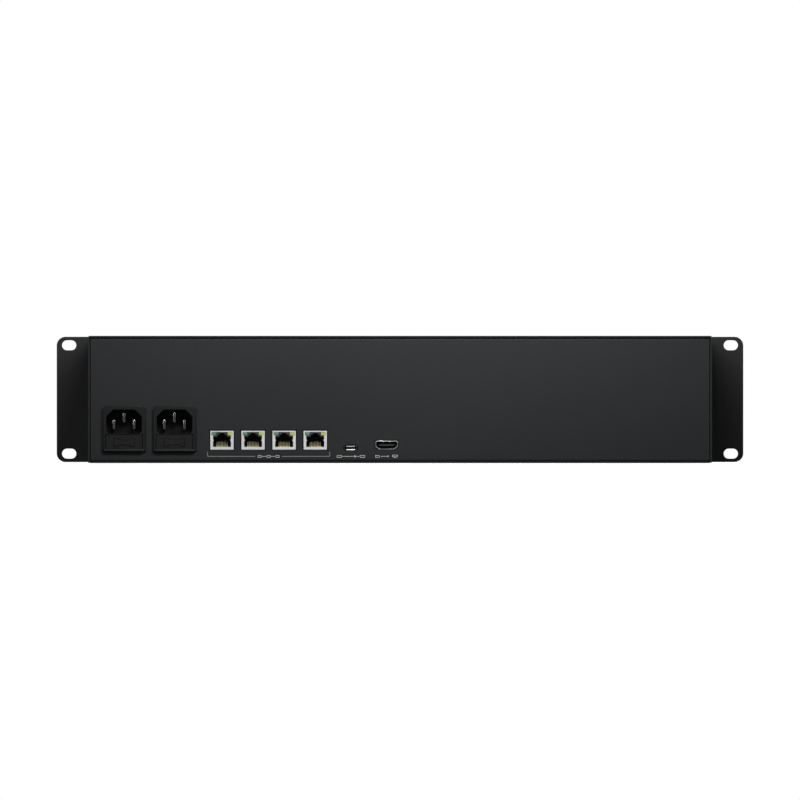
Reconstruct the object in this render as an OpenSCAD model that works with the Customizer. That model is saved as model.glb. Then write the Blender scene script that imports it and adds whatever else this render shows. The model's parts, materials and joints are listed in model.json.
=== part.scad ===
// Two-unit rack appliance: connectors at the back (-Y), rack ears and controls at the front (+Y).
// Millimetres, +Z up. The origin is at the bottom centre of the whole unit.

/* [Overall] */
// Width of the front panel over both rack ears
panel_w = 482.6; // [482:0.1:483]
// Height of the front panel
panel_h = 88.1; // [87.8:0.1:88.9]
// Depth from the fuse drawers' grips to the front of the buttons
overall_d = 400; // [390:5:460]
// Width of the chassis behind the front panel
chassis_w = 432; // [431:0.5:436]

/* [Rack ears] */
// Distance between the left and right slot centres
slot_pitch_x = 465.1; // [465:0.1:466]
// Distance between the lower and upper slot centres
slot_pitch_z = 76.2; // [76:0.1:76.4]
// Length of a slot from end to end
slot_l = 10; // [8:0.5:11]
// Radius of a slot's round ends
slot_r = 3.5; // [3.3:0.1:3.6]
// Radius of the front panel's corners
ear_corner_r = 6.2; // [4:0.2:7]

/* [Sheet metal] */
// Thickness of the cover, tray and front frame
sheet_t = 1.2; // [1:0.1:1.3]
// Thickness of the rear panel
rear_t = 1.5; // [1.2:0.1:1.6]
// Thickness of the front panel
panel_t = 4; // [3.5:0.5:5]
// Shadow gap between the rear panel and the cover
seam = 0.5; // [0.4:0.1:0.7]

/* [Ports] */
// Centre of the first mains inlet
inlet_x = -191.1; // [-192:0.1:-190.5]
// Distance between the two mains inlets
inlet_pitch = 34.9; // [34:0.1:35.5]
// Height of an inlet's contact blades
pin_h = 7; // [4:0.5:7]
// Centre of the first network jack
jack_x = -123.3; // [-124:0.1:-123]
// Distance between two network jacks
jack_pitch = 21.53; // [20.5:0.01:22]
// Length of a fuse drawer behind its front plate
drawer_l = 17; // [16.5:0.5:17.5]
// Centre of the USB socket
usb_x = -34.1; // [-38:0.1:-32]
// Centre of the HDMI socket
hdmi_x = -9.2; // [-12:0.1:-2]

/* [Front] */
// Number of intake slots in the front panel
intake_count = 31; // [22:1:31]
// Distance between an intake slot's ends and the panel's top and bottom edges
intake_margin = 12; // [11:0.5:16]
// How far the buttons stand out of the front panel
button_proud = 1.2; // [1:0.1:2]

/* [Hidden] */
$fn = 48;

// Colours
satin_black = [0.10, 0.10, 0.11];
powder_grey = [0.19, 0.20, 0.21];
black_plastic = [0.06, 0.06, 0.07];
steel = [0.72, 0.72, 0.73];
zinc = [0.58, 0.60, 0.62];
gold = [0.83, 0.66, 0.30];
board_green = [0.06, 0.24, 0.16];
alloy = [0.62, 0.63, 0.65];

// Clearances
eps = 0.01;
cut = 1;
running = 0.3;
fit = 0.08;

// Y stations, from the back to the front
grip_proud = 1.2;
flange_proud = 2.8;
rear_y = -overall_d / 2 + grip_proud + flange_proud;
rear_in_y = rear_y + rear_t;
flange_y = rear_y - flange_proud;
face_y = overall_d / 2 - button_proud;
panel_back_y = face_y - panel_t;
frame_y = panel_back_y - sheet_t;
cover_overhang = 0.8;

// Chassis sections
cover_in_x = chassis_w / 2 - sheet_t;
cover_in_z = panel_h - sheet_t;
rear_half_w = cover_in_x - seam;
rear_top_z = cover_in_z - seam;
tray_half_w = cover_in_x - 0.3;
tray_flange_h = 20;
flange_l = 12;
bend_r = 1.2;
screw_xs = [-180, -90, 0, 90, 180];
screw_in = 7;
side_screw_ys = [rear_y + 60, 0, panel_back_y - 40];
side_screw_z = 10;

// Flat screws of the chassis, size M3
m3_r = 1.5;
m3_head_r = 2.8;
m3_head_h = 1;
m3_l = 5;

// Flat screws of the front panel, size M4
m4_r = 2;
m4_head_r = 4;
m4_head_h = 2.2;
m4_l = 8;
panel_screw_places = [for (x = [-208, 97, 208], z = [14, panel_h - 14]) [x, z]];

// Mains inlets
inlet_xs = [inlet_x, inlet_x + inlet_pitch];
inlet_low_z = 7.8;
inlet_top_z = 40;
inlet_half_w = 15.2;
inlet_body_half_w = 13.9;
inlet_body_l = 31;
recess_half_w = 12.3;
recess_low_z = 20.2;
recess_top_z = 36.9;
recess_l = 18;
pin_w = 2;
pin_z = 26.6;
earth_pin_z = 31.4;
pin_half_pitch = 7;
pin_start_y = flange_y + 3;
pin_end_y = rear_y + inlet_body_l;
tab_l = 8;

// Fuse drawers
drawer_half_w = 12.5;
drawer_low_z = 8.1;
drawer_top_z = 19.4;
drawer_plate_t = 2;
drawer_body_half_w = 11.1;
drawer_body_low_z = 10;
drawer_body_top_z = 18.4;
drawer_back_y = flange_y + drawer_plate_t + drawer_l;
fuse_l = 20;
fuse_r = 2.5;
fuse_cap_r = 2.6;
fuse_cap_l = 5;
fuse_z = 14.6;
fuse_ys = [flange_y + drawer_plate_t + 5, flange_y + drawer_plate_t + 12.6];

// Network jacks
jack_count = 4;
jack_xs = [for (i = [0:jack_count - 1]) jack_x + i * jack_pitch];
jack_w = 16.1;
jack_low_z = 9.3;
jack_h = 13;
jack_l = 21;
jack_y = rear_y - 0.4;
jack_skin = 0.4;
jack_mouth_w = 12.4;
jack_mouth_low = 1.8;
jack_mouth_h = 8;
jack_led_w = 14.5;
jack_led_h = 2.4;
jack_lens_w = 3.3;
jack_lens_l = 9;
jack_cavity_l = 13;
contact_pitch = 1.02;
contact_r = 0.22;
contact_n = 8;

// USB and HDMI sockets
usb_w = 8.94;
usb_h = 3.26;
usb_z = 10.45;
usb_l = 8;
usb_y = rear_y + 0.1;
hdmi_w = 15.4;
hdmi_h = 5.9;
hdmi_z = 12.4;
hdmi_l = 11;
hdmi_y = rear_y - 0.2;

// Main board
board_x0 = -137;
board_x1 = 92;
board_y0 = rear_in_y + 0.6;
board_l = 238;
board_t = 1.6;
board_z = 8.8;
board_low_z = board_z - board_t;
standoff_places = [for (x = [-131, -24, 86], y = [30, 122, 232]) [x, board_y0 + y]];
processor_place = [20, board_y0 + 118];
processor_w = 37.5;
processor_h = 4.4;
switch_chip_place = [-91, board_y0 + 50];
switch_chip_h = 2.2;
memory_xs = [66, 77];
memory_y0 = board_y0 + 60;
memory_l = 133.4;
memory_h = 30;
dc_socket_x = -130;
dc_socket_ys = [75, 200];
dc_socket_h = 11;
ribbon_x = 53;
ribbon_socket_h = 5;

// Power supplies
psu_x0 = -203;
psu_w = 63;
psu_l = 122;
psu_h = 40;
psu_t = 1.5;
psu_y0s = [rear_y + 62, rear_y + 194];
psu_z = sheet_t;

// Fans
fan_size = 80;
fan_l = 25;
fan_hole_half_pitch = 35.75;
fan_bore_r = 38;
fan_xs = [-146, -34];
fan_z = panel_h / 2;
fan_y1 = frame_y;
fan_y0 = fan_y1 - fan_l;
fan_hub_r = 16;
fan_hub_t = 4;
fan_shaft_r = 1.5;
rotor_r = 36.6;
rotor_y0 = fan_y0 + fan_hub_t + 0.6;
rotor_l = 18.5;

// Front controls
intake_pitch = 9;
intake_x0 = -192;
intake_slot_r = 2.5;
intake_low_z = intake_margin;
intake_top_z = panel_h - intake_margin;
grille_t = 0.9;
grille_pocket = 1;
grille_x0 = intake_x0 - 6;
grille_x1 = intake_x0 + (intake_count - 1) * intake_pitch + 6;
display_x = 146;
display_z = panel_h / 2 + 8;
window_w = 62;
window_h = 40;
window_t = 1.5;
window_step = 2;
menu_count = 3;
menu_z = 18;
menu_pitch = 19;
menu_w = 14;
menu_h = 7;
power_x = 191;
power_r = 7;
control_x0 = 108;
control_x1 = 201;
control_low_z = 9;
control_top_z = panel_h - control_low_z;
front_board_y = panel_back_y - 16;
switch_w = 6.4;
switch_l = 4.5;
plunger_r = 1.7;
press = 1;

// ---------- helpers ----------

// A flat shape drawn in X and Z, made solid from y0 to y1
module along_y(y0, y1) {
    translate([0, y1, 0]) rotate([90, 0, 0]) linear_extrude(y1 - y0) children();
}

// A flat shape drawn in Y and Z, made solid from x0 to x1
module along_x(x0, x1) {
    translate([x0, 0, 0]) rotate([90, 0, 90]) linear_extrude(x1 - x0) children();
}

module box(low, high) {
    translate(low) cube(high - low);
}

module rounded(size, r) {
    translate([r, 0]) square([size.x - 2 * r, size.y]);
    translate([0, r]) square([size.x, size.y - 2 * r]);
    for (x = [r, size.x - r], y = [r, size.y - r]) translate([x, y]) circle(r = r);
}

module centred_rounded(size, r) {
    translate(-size / 2) rounded(size, r);
}

// A slot with round ends, long along the flat shape's first axis
module stadium(l, r) {
    square([l - 2 * r, 2 * r], center = true);
    for (s = [-1, 1]) translate([s * (l / 2 - r), 0]) circle(r = r);
}

// A rectangle with its two upper and two lower corners cut off at 45 degrees
module cut_corners(half_w, low, top, upper_cut, lower_cut) {
    polygon([
        [-half_w + lower_cut, low], [half_w - lower_cut, low], [half_w, low + lower_cut],
        [half_w, top - upper_cut], [half_w - upper_cut, top], [-half_w + upper_cut, top],
        [-half_w, top - upper_cut], [-half_w, low + lower_cut]
    ]);
}

// A folded sheet seen from its end: a plate with a flange at the top and at the bottom
module folded_section(low, top, depth, t) {
    difference() {
        translate([0, low]) rounded([depth + 2 * bend_r, top - low], bend_r);
        translate([t, low + t]) square([depth + 2 * bend_r, top - low - 2 * t]);
        translate([depth, low - cut]) square([3 * bend_r, top - low + 2 * cut]);
    }
}

// A flat-headed screw whose head lies at the origin and whose shank points down
module flat_screw(r, head_r, head_h, l) {
    difference() {
        union() {
            translate([0, 0, -head_h]) cylinder(r1 = r, r2 = head_r, h = head_h);
            translate([0, 0, -l]) cylinder(r = r, h = l - head_h / 2);
        }
        for (turn = [0, 90]) rotate(turn) translate([0, 0, -head_h / 2])
            cube([1.2 * head_r, 0.25 * head_r, head_h + eps], center = true);
    }
}

// The countersunk hole that flat_screw() sits in
module flat_screw_hole(r, head_r, head_h, l) {
    translate([0, 0, -head_h]) cylinder(r1 = r + fit, r2 = head_r + fit, h = head_h + eps);
    translate([0, 0, -l - cut]) cylinder(r = r + fit, h = l + cut);
    translate([0, 0, -eps]) cylinder(r = head_r + fit, h = cut);
}

// Places and directions of every chassis screw
module at_chassis_screws() {
    for (x = screw_xs, y = [rear_y + screw_in, panel_back_y - screw_in]) {
        translate([x, y, panel_h]) children();
        translate([x, y, 0]) rotate([180, 0, 0]) children();
    }
    for (y = side_screw_ys, s = [-1, 1])
        translate([s * chassis_w / 2, y, side_screw_z]) rotate([0, s * 90, 0]) children();
}

module chassis_screw_holes() {
    at_chassis_screws() flat_screw_hole(m3_r, m3_head_r, m3_head_h, m3_l);
}

module at_panel_screws() {
    for (p = panel_screw_places) translate([p.x, face_y, p.y]) rotate([-90, 0, 0]) children();
}

// A round lead that follows right-angled corners, each a little fuller than the lead
module lead(points, r) {
    for (i = [0:len(points) - 2]) {
        a = points[i];
        d = points[i + 1] - a;
        length = norm(d);
        translate(a) rotate([0, acos(d.z / length), atan2(d.y, d.x)]) cylinder(r = r, h = length);
    }
    for (i = [1:len(points) - 2]) translate(points[i]) sphere(r = 1.06 * r);
}

// ---------- enclosure ----------

module rack_slots() {
    for (x = [-1, 1], z = [-1, 1])
        translate([x * slot_pitch_x / 2, panel_h / 2 + z * slot_pitch_z / 2]) stadium(slot_l, slot_r);
}

module intake_slots() {
    slot_h = intake_top_z - intake_low_z;
    for (i = [0:intake_count - 1])
        translate([intake_x0 + i * intake_pitch, panel_h / 2]) rotate(90) stadium(slot_h, intake_slot_r);
}

module menu_shape(gap) {
    centred_rounded([menu_w + 2 * gap, menu_h + 2 * gap], 2 + gap);
}

function menu_x(i) = display_x + (i - (menu_count - 1) / 2) * menu_pitch;

module front_panel() {
    color(satin_black) difference() {
        along_y(panel_back_y, face_y) difference() {
            translate([-panel_w / 2, 0]) rounded([panel_w, panel_h], ear_corner_r);
            rack_slots();
            intake_slots();
            translate([display_x, display_z])
                centred_rounded([window_w - 2 * window_step, window_h - 2 * window_step], 2);
            for (i = [0:menu_count - 1]) translate([menu_x(i), menu_z]) menu_shape(running);
            translate([power_x, display_z]) circle(r = power_r + running);
        }
        box([grille_x0, panel_back_y - cut, intake_low_z - 4],
            [grille_x1, panel_back_y + grille_pocket, intake_top_z + 4]);
        along_y(face_y - window_t, face_y + cut) translate([display_x, display_z])
            centred_rounded([window_w, window_h], 3);
        at_panel_screws() flat_screw_hole(m4_r, m4_head_r, m4_head_h, m4_l);
    }
}

module intake_grille() {
    columns = 8;
    rows = 14;
    edge = 4;
    low = intake_low_z - 3.8;
    high = intake_top_z + 3.8;
    cell_w = (grille_x1 - grille_x0 - 0.4 - edge) / columns;
    cell_h = (high - low - edge) / rows;
    color(satin_black) along_y(panel_back_y + 0.05, panel_back_y + 0.05 + grille_t) difference() {
        translate([grille_x0 + 0.2, low]) square([grille_x1 - grille_x0 - 0.4, high - low]);
        for (i = [0:columns - 1], j = [0:rows - 1])
            translate([grille_x0 + 0.2 + edge + i * cell_w, low + edge + j * cell_h])
                square([cell_w - edge, cell_h - 1.8]);
    }
}

module front_frame() {
    low = sheet_t;
    top = cover_in_z - 0.3;
    pocket_y = front_board_y + 0.6;
    through = sheet_t + 2 * cut;
    color(zinc) difference() {
        union() {
            mirror([0, 1, 0]) translate([0, -panel_back_y, 0])
                along_x(-tray_half_w + 2, tray_half_w - 2) folded_section(low, top, flange_l, sheet_t);
            // Walls around the controls, which reach back to their board
            box([control_x0 - sheet_t, pocket_y, control_low_z - sheet_t],
                [control_x1 + sheet_t, frame_y + eps, control_top_z + sheet_t]);
        }
        for (x = fan_xs) translate([x, panel_back_y + cut, fan_z]) {
            rotate([90, 0, 0]) cylinder(r = fan_bore_r, h = through);
            at_fan_holes() rotate([90, 0, 0]) cylinder(r = m4_r + fit, h = through);
        }
        box([control_x0, pocket_y - cut, control_low_z],
            [control_x1, panel_back_y + cut, control_top_z]);
        at_panel_screws() translate([0, 0, -m4_l]) cylinder(r = m4_r + fit, h = m4_l);
        chassis_screw_holes();
    }
}

module base_tray() {
    color(powder_grey) difference() {
        union() {
            box([-tray_half_w, rear_y, 0], [tray_half_w, panel_back_y, sheet_t]);
            for (s = [0, 1]) mirror([s, 0, 0])
                box([tray_half_w - sheet_t, rear_y + 2 * flange_l, 0],
                    [tray_half_w, frame_y - 2 * flange_l, tray_flange_h]);
        }
        chassis_screw_holes();
    }
}

module rear_panel() {
    gap = 0.2;
    color(powder_grey) difference() {
        along_x(-rear_half_w, rear_half_w) translate([rear_y, 0])
            folded_section(sheet_t, rear_top_z, flange_l, rear_t);
        along_y(rear_y - cut, rear_in_y + cut) {
            for (x = inlet_xs) translate([x, 0])
                square_hole(inlet_body_half_w + gap, inlet_low_z + 1.4 - gap, inlet_top_z - 1.4 + gap);
            for (x = jack_xs) translate([x, 0])
                square_hole(jack_w / 2 + 0.7, jack_low_z - 0.6, jack_low_z + jack_h + 0.7);
            translate([usb_x, usb_z]) stadium(usb_w + 1.1, usb_h / 2 + 0.55);
            translate([hdmi_x, hdmi_z]) hdmi_outline(-0.5);
        }
        chassis_screw_holes();
    }
}

module square_hole(half_w, low, top) {
    translate([-half_w, low]) square([2 * half_w, top - low]);
}

module wrap_cover() {
    vent_rows = [32, 58];
    vent_count = 18;
    vent_pitch = 6.4;
    vent_y = rear_y + 40;
    y0 = rear_y - cover_overhang;
    below = 10;
    floor_gap = 0.2;
    color(powder_grey) difference() {
        along_y(y0, panel_back_y) difference() {
            translate([-chassis_w / 2, -below]) rounded([chassis_w, panel_h + below], bend_r);
            translate([-cover_in_x, -below]) square([2 * cover_in_x, cover_in_z + below]);
            translate([-chassis_w / 2, -below - cut]) square([chassis_w, below + cut + floor_gap]);
        }
        along_x(-chassis_w / 2 - cut, chassis_w / 2 + cut)
            for (i = [0:vent_count - 1], z = vent_rows)
                translate([vent_y + i * vent_pitch, z]) rotate(90) stadium(22, 1.6);
        chassis_screw_holes();
    }
}

module chassis_screws() {
    color(satin_black) at_chassis_screws() flat_screw(m3_r, m3_head_r, m3_head_h, m3_l);
}

module panel_screws() {
    color(satin_black) at_panel_screws() flat_screw(m4_r, m4_head_r, m4_head_h, m4_l);
}

// ---------- mains inlets ----------

module at_pins() {
    for (p = [[-pin_half_pitch, pin_z], [0, earth_pin_z], [pin_half_pitch, pin_z]])
        translate([p.x, 0, p.y]) children();
}

module inlet_housing(x) {
    plate_gap = 0.3;
    color(black_plastic) translate([x, 0, 0]) difference() {
        union() {
            along_y(flange_y + 1.2, rear_y)
                cut_corners(inlet_half_w, inlet_low_z, inlet_top_z, 2.8, 0.5);
            along_y(flange_y, flange_y + 1.2 + eps)
                cut_corners(inlet_half_w - 0.8, inlet_low_z, inlet_top_z - 0.8, 2.6, 0.5);
            along_y(rear_y - eps, rear_y + inlet_body_l) translate([-inlet_body_half_w, inlet_low_z + 1.4])
                square([2 * inlet_body_half_w, inlet_top_z - inlet_low_z - 2.8]);
            for (s = [0, 1]) mirror([s, 0, 0]) translate([0, 0, 20]) linear_extrude(8) polygon([
                [inlet_body_half_w - eps, rear_in_y + 0.2], [inlet_body_half_w + 0.8, rear_in_y + 0.2],
                [inlet_body_half_w - eps, rear_in_y + 7]
            ]);
        }
        along_y(flange_y - cut, flange_y + recess_l)
            cut_corners(recess_half_w, recess_low_z, recess_top_z, 4.8, 1.6);
        at_pins() box([-pin_w / 2, flange_y, -pin_h / 2], [pin_w / 2, pin_end_y + cut, pin_h / 2]);
        box([-drawer_half_w - plate_gap, flange_y - cut, inlet_low_z - cut],
            [drawer_half_w + plate_gap, flange_y + drawer_plate_t + plate_gap, drawer_top_z + plate_gap]);
        box([-drawer_body_half_w - running, flange_y, drawer_body_low_z - running],
            [drawer_body_half_w + running, drawer_back_y + 1, drawer_body_top_z + running]);
    }
}

// A contact blade with a bevelled tip and a solder tab behind the housing
module inlet_pin() {
    bevel = 0.7;
    tab_w = 0.8;
    tab_h = 4;
    intersection() {
        along_x(-pin_w / 2, pin_w / 2) polygon([
            [pin_start_y, -pin_h / 2 + bevel], [pin_start_y + bevel, -pin_h / 2], [pin_end_y, -pin_h / 2],
            [pin_end_y, pin_h / 2], [pin_start_y + bevel, pin_h / 2], [pin_start_y, pin_h / 2 - bevel]
        ]);
        translate([0, 0, -pin_h / 2 - cut]) linear_extrude(pin_h + 2 * cut) polygon([
            [-pin_w / 2 + bevel, pin_start_y], [pin_w / 2 - bevel, pin_start_y],
            [pin_w / 2, pin_start_y + 2 * bevel], [pin_w / 2, pin_end_y],
            [-pin_w / 2, pin_end_y], [-pin_w / 2, pin_start_y + 2 * bevel]
        ]);
    }
    box([-tab_w / 2, pin_end_y - eps, -tab_h / 2], [tab_w / 2, pin_end_y + tab_l, tab_h / 2]);
}

module inlet_pins(x) {
    color(steel) translate([x, 0, 0]) at_pins() inlet_pin();
}

// The raised sign of a cartridge fuse: a body between two end caps
module fuse_sign() {
    sign_z = 14.2;
    for (s = [-1, 1]) translate([s * 5.6, sign_z]) centred_rounded([2.8, 5.6], 0.4);
    translate([0, sign_z]) square([8.6, 3.2], center = true);
}

module fuse_drawer(x) {
    lip_h = 1.7;
    sign_proud = 0.35;
    seat_half_l = fuse_l / 2 + 0.2;
    seat_r = fuse_cap_r + 0.1;
    color(black_plastic) translate([x, 0, 0]) difference() {
        union() {
            box([-drawer_half_w, flange_y, drawer_low_z],
                [drawer_half_w, flange_y + drawer_plate_t, drawer_top_z]);
            box([-drawer_half_w, flange_y - grip_proud, drawer_low_z],
                [drawer_half_w, flange_y + eps, drawer_low_z + lip_h]);
            along_y(flange_y - sign_proud, flange_y + eps) fuse_sign();
            box([-drawer_body_half_w, flange_y + drawer_plate_t - eps, drawer_body_low_z],
                [drawer_body_half_w, drawer_back_y, drawer_body_top_z]);
        }
        for (y = fuse_ys) {
            along_x(-seat_half_l, seat_half_l) translate([y, fuse_z]) circle(r = seat_r);
            box([-seat_half_l, y - seat_r, fuse_z], [seat_half_l, y + seat_r, drawer_body_top_z + cut]);
        }
    }
}

module fuses(x) {
    color(steel) for (y = fuse_ys) translate([x, y, fuse_z]) rotate([0, 90, 0]) {
        cylinder(r = fuse_r, h = fuse_l - 2, center = true);
        for (s = [-1, 1]) translate([0, 0, s * (fuse_l - fuse_cap_l) / 2])
            cylinder(r = fuse_cap_r, h = fuse_cap_l, center = true);
    }
}

// ---------- network jacks ----------

// The mouth of a jack: a wide band for the two lamps over a narrower way for the plug
module jack_mouth(grow) {
    low = jack_low_z + jack_mouth_low;
    translate([-jack_mouth_w / 2 - grow, low - grow])
        square([jack_mouth_w + 2 * grow, jack_mouth_h + grow]);
    translate([-jack_led_w / 2 - grow, low + jack_mouth_h - eps])
        square([jack_led_w + 2 * grow, jack_led_h + grow]);
}

module jack_shield(x) {
    spring_z = jack_low_z + 6.5;
    back_y = jack_y + jack_l;
    color(steel) translate([x, 0, 0]) {
        difference() {
            box([-jack_w / 2, jack_y, jack_low_z], [jack_w / 2, back_y, jack_low_z + jack_h]);
            box([-jack_w / 2 + jack_skin, jack_y + jack_skin, jack_low_z - cut],
                [jack_w / 2 - jack_skin, back_y - jack_skin, jack_low_z + jack_h - jack_skin]);
            along_y(jack_y - cut, jack_y + 2 * jack_skin) jack_mouth(0);
        }
        for (s = [0, 1]) mirror([s, 0, 0]) along_y(jack_y, jack_y + jack_skin) polygon([
            [jack_mouth_w / 2 + 0.2, spring_z - 1], [jack_mouth_w / 2 + 0.2, spring_z + 1],
            [jack_mouth_w / 2 - 0.6, spring_z]
        ]);
    }
}

module jack_insert(x) {
    side = jack_w / 2 - jack_skin - 0.05;
    front = jack_y + jack_skin + 0.05;
    back = jack_y + jack_l - jack_skin - 0.05;
    top = jack_low_z + jack_h - jack_skin - 0.05;
    floor_z = jack_low_z + jack_mouth_low;
    color(black_plastic) translate([x, 0, 0]) difference() {
        box([-side, front, board_z], [side, back, top]);
        along_y(front - cut, front + jack_cavity_l) {
            translate([-5.95, floor_z + 0.2]) square([11.9, 6.9]);
            translate([-3.2, floor_z + 7]) square([6.4, 1.6]);
            translate([-1.7, floor_z + 8.5]) square([3.4, 1.2]);
        }
        for (s = [0, 1]) mirror([s, 0, 0]) box(
            [jack_led_w / 2 - jack_lens_w - 0.1, front - cut, floor_z + jack_mouth_h - 0.1],
            [jack_led_w / 2 + 0.1, front + jack_lens_l, floor_z + jack_mouth_h + jack_led_h + 0.1]);
        contact_row() cylinder(r = contact_r + 0.05, h = 40, center = true);
    }
}

// Eight spring contacts that rise from the floor of the mouth towards its back
module contact_row() {
    for (i = [0:contact_n - 1])
        translate([(i - (contact_n - 1) / 2) * contact_pitch, jack_y + 7, jack_low_z + jack_mouth_low + 2])
            rotate([-72, 0, 0]) children();
}

module jack_contacts(x) {
    color(gold) translate([x, 0, 0]) contact_row() translate([0, 0, -5.4]) cylinder(r = contact_r, h = 14);
}

module jack_lenses(side) {
    z = jack_low_z + jack_mouth_low + jack_mouth_h;
    for (x = jack_xs) translate([x + side * (jack_led_w - jack_lens_w) / 2, 0, 0])
        box([-jack_lens_w / 2 + 0.05, jack_y + 0.1, z + 0.05],
            [jack_lens_w / 2 - 0.05, jack_y + jack_lens_l, z + jack_led_h - 0.1]);
}

module link_lenses() {
    color([0.35, 0.72, 0.55]) jack_lenses(-1);
}

module activity_lenses() {
    color([0.78, 0.80, 0.25]) jack_lenses(1);
}

// ---------- USB and HDMI ----------

module usb_shell() {
    color(steel) along_y(usb_y, usb_y + usb_l) translate([usb_x, usb_z]) difference() {
        stadium(usb_w, usb_h / 2);
        stadium(usb_w - 0.6, usb_h / 2 - 0.3);
    }
}

module usb_tongue() {
    color(black_plastic) {
        box([usb_x - 3.35, usb_y + 0.8, usb_z - 0.35], [usb_x + 3.35, usb_y + usb_l - 1.5, usb_z + 0.35]);
        along_y(usb_y + usb_l - 1.5 - eps, usb_y + usb_l) translate([usb_x, usb_z])
            stadium(usb_w - 0.7, usb_h / 2 - 0.35);
    }
}

// The socket's outline, drawn in by t on every side
module hdmi_outline(t) {
    half_w = hdmi_w / 2 - t;
    half_h = hdmi_h / 2 - t;
    slant = 1.85;
    polygon([
        [-half_w, half_h - 0.6], [-half_w + 0.6, half_h], [half_w - 0.6, half_h],
        [half_w, half_h - 0.6], [half_w, slant - half_h], [half_w - 2.4, -half_h],
        [-half_w + 2.4, -half_h], [-half_w, slant - half_h]
    ]);
}

module hdmi_shell() {
    color(steel) translate([hdmi_x, 0, hdmi_z]) {
        along_y(hdmi_y, hdmi_y + hdmi_l) difference() {
            hdmi_outline(0);
            hdmi_outline(0.4);
        }
        for (s = [-1, 1]) translate([s * 2.3, 0, 0]) along_y(hdmi_y, hdmi_y + 3)
            polygon([[-0.9, hdmi_h / 2 - 0.2], [0.9, hdmi_h / 2 - 0.2], [0, hdmi_h / 2 - 1.1]]);
    }
}

module hdmi_tongue() {
    back_y = hdmi_y + hdmi_l;
    color(black_plastic) translate([hdmi_x, 0, 0]) {
        box([-5.2, hdmi_y + 1.2, hdmi_z - 0.5], [5.2, back_y - 2 + eps, hdmi_z + 0.5]);
        along_y(back_y - 2, back_y) translate([0, hdmi_z]) hdmi_outline(0.45);
        box([-6.5, back_y, board_z], [6.5, back_y + 2, hdmi_z + 2]);
    }
}

// ---------- main board ----------

module main_board() {
    slot_w = 7;
    color(board_green) difference() {
        union() {
            box([board_x0, board_y0, board_low_z], [board_x1, board_y0 + board_l, board_z]);
            translate([switch_chip_place.x, switch_chip_place.y, board_z - eps])
                linear_extrude(switch_chip_h) square(24, center = true);
            for (x = memory_xs) box([x - slot_w / 2, memory_y0, board_z - eps],
                [x + slot_w / 2, memory_y0 + memory_l + 8, board_z + 8]);
            for (i = [0:6]) translate([-36, board_y0 + 86 + i * 11, board_z - eps]) cylinder(r = 4, h = 10);
            for (i = [0:5]) box([-20.5, board_y0 + 86 + i * 12, board_z - eps],
                [-12.5, board_y0 + 95 + i * 12, board_z + 6]);
            for (y = dc_socket_ys) box([dc_socket_x - 4, board_y0 + y - 15, board_z - eps],
                [dc_socket_x + 4, board_y0 + y + 15, board_z + dc_socket_h]);
            box([ribbon_x - 13, board_y0 + board_l - 10, board_z - eps],
                [ribbon_x + 13, board_y0 + board_l - 2, board_z + ribbon_socket_h]);
        }
        for (x = memory_xs) box([x - 0.7, memory_y0 + 3.8, board_z + 2],
            [x + 0.7, memory_y0 + memory_l + 4.2, board_z + 9]);
        for (p = standoff_places) translate([p.x, p.y, board_low_z - cut]) cylinder(r = 1.7, h = 4);
    }
}

module board_standoffs() {
    color(zinc) for (p = standoff_places) translate([p.x, p.y, sheet_t]) difference() {
        cylinder(r = 3.1, h = board_low_z - sheet_t, $fn = 6);
        translate([0, 0, 1]) cylinder(r = 1.4, h = board_low_z);
    }
}

module board_screws() {
    color(steel) for (p = standoff_places) translate([p.x, p.y, board_z]) difference() {
        union() {
            translate([0, 0, eps]) cylinder(r = 2.8, h = 2);
            translate([0, 0, -5]) cylinder(r = 1.3, h = 5.5);
        }
        for (turn = [0, 90]) rotate(turn) translate([0, 0, 1.7]) cube([3, 0.6, 1], center = true);
    }
}

module processor() {
    color(alloy) translate([processor_place.x, processor_place.y, board_z]) {
        linear_extrude(1.6) square(processor_w + 8, center = true);
        translate([0, 0, 1.6 - eps]) linear_extrude(processor_h - 1.6) centred_rounded(
            [processor_w, processor_w], 2);
    }
}

// A heat sink with a row of upright fins, standing on the origin
module finned_block(w, l, base_t, h, fins, fin_t) {
    pitch = (w - fin_t) / (fins - 1);
    translate([-w / 2, -l / 2, 0]) {
        cube([w, l, base_t]);
        for (i = [0:fins - 1]) translate([i * pitch, 0, base_t - eps]) cube([fin_t, l, h - base_t]);
    }
}

module heat_sink() {
    color(alloy) translate([processor_place.x, processor_place.y, board_z + processor_h])
        finned_block(62, 90, 6, 44, 15, 1.2);
}

module switch_heat_sink() {
    color(alloy) translate([switch_chip_place.x, switch_chip_place.y, board_z + switch_chip_h])
        finned_block(44, 44, 4, 20, 10, 1.2);
}

module memory_modules() {
    low = board_z + 2.1;
    color(board_green) for (x = memory_xs) {
        box([x - 0.6, memory_y0 + 4, low], [x + 0.6, memory_y0 + 4 + memory_l, low + memory_h]);
        for (i = [0:7]) box([x + 0.6 - eps, memory_y0 + 10 + i * 16, low + 11],
            [x + 1.7, memory_y0 + 20 + i * 16, low + 25]);
    }
}

// ---------- power supplies ----------

module psu_case(y0) {
    color(alloy) difference() {
        box([psu_x0, y0, psu_z], [psu_x0 + psu_w, y0 + psu_l, psu_z + psu_h]);
        box([psu_x0 + psu_t, y0 - cut, psu_z + psu_t],
            [psu_x0 + psu_w - psu_t, y0 + psu_l + cut, psu_z + psu_h + cut]);
        for (i = [0:7], z = [14, 28]) translate([psu_x0 - cut, y0 + 12 + i * 14, psu_z + z])
            rotate([0, 90, 0]) cylinder(r = 3, h = psu_w + 2 * cut);
    }
}

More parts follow.
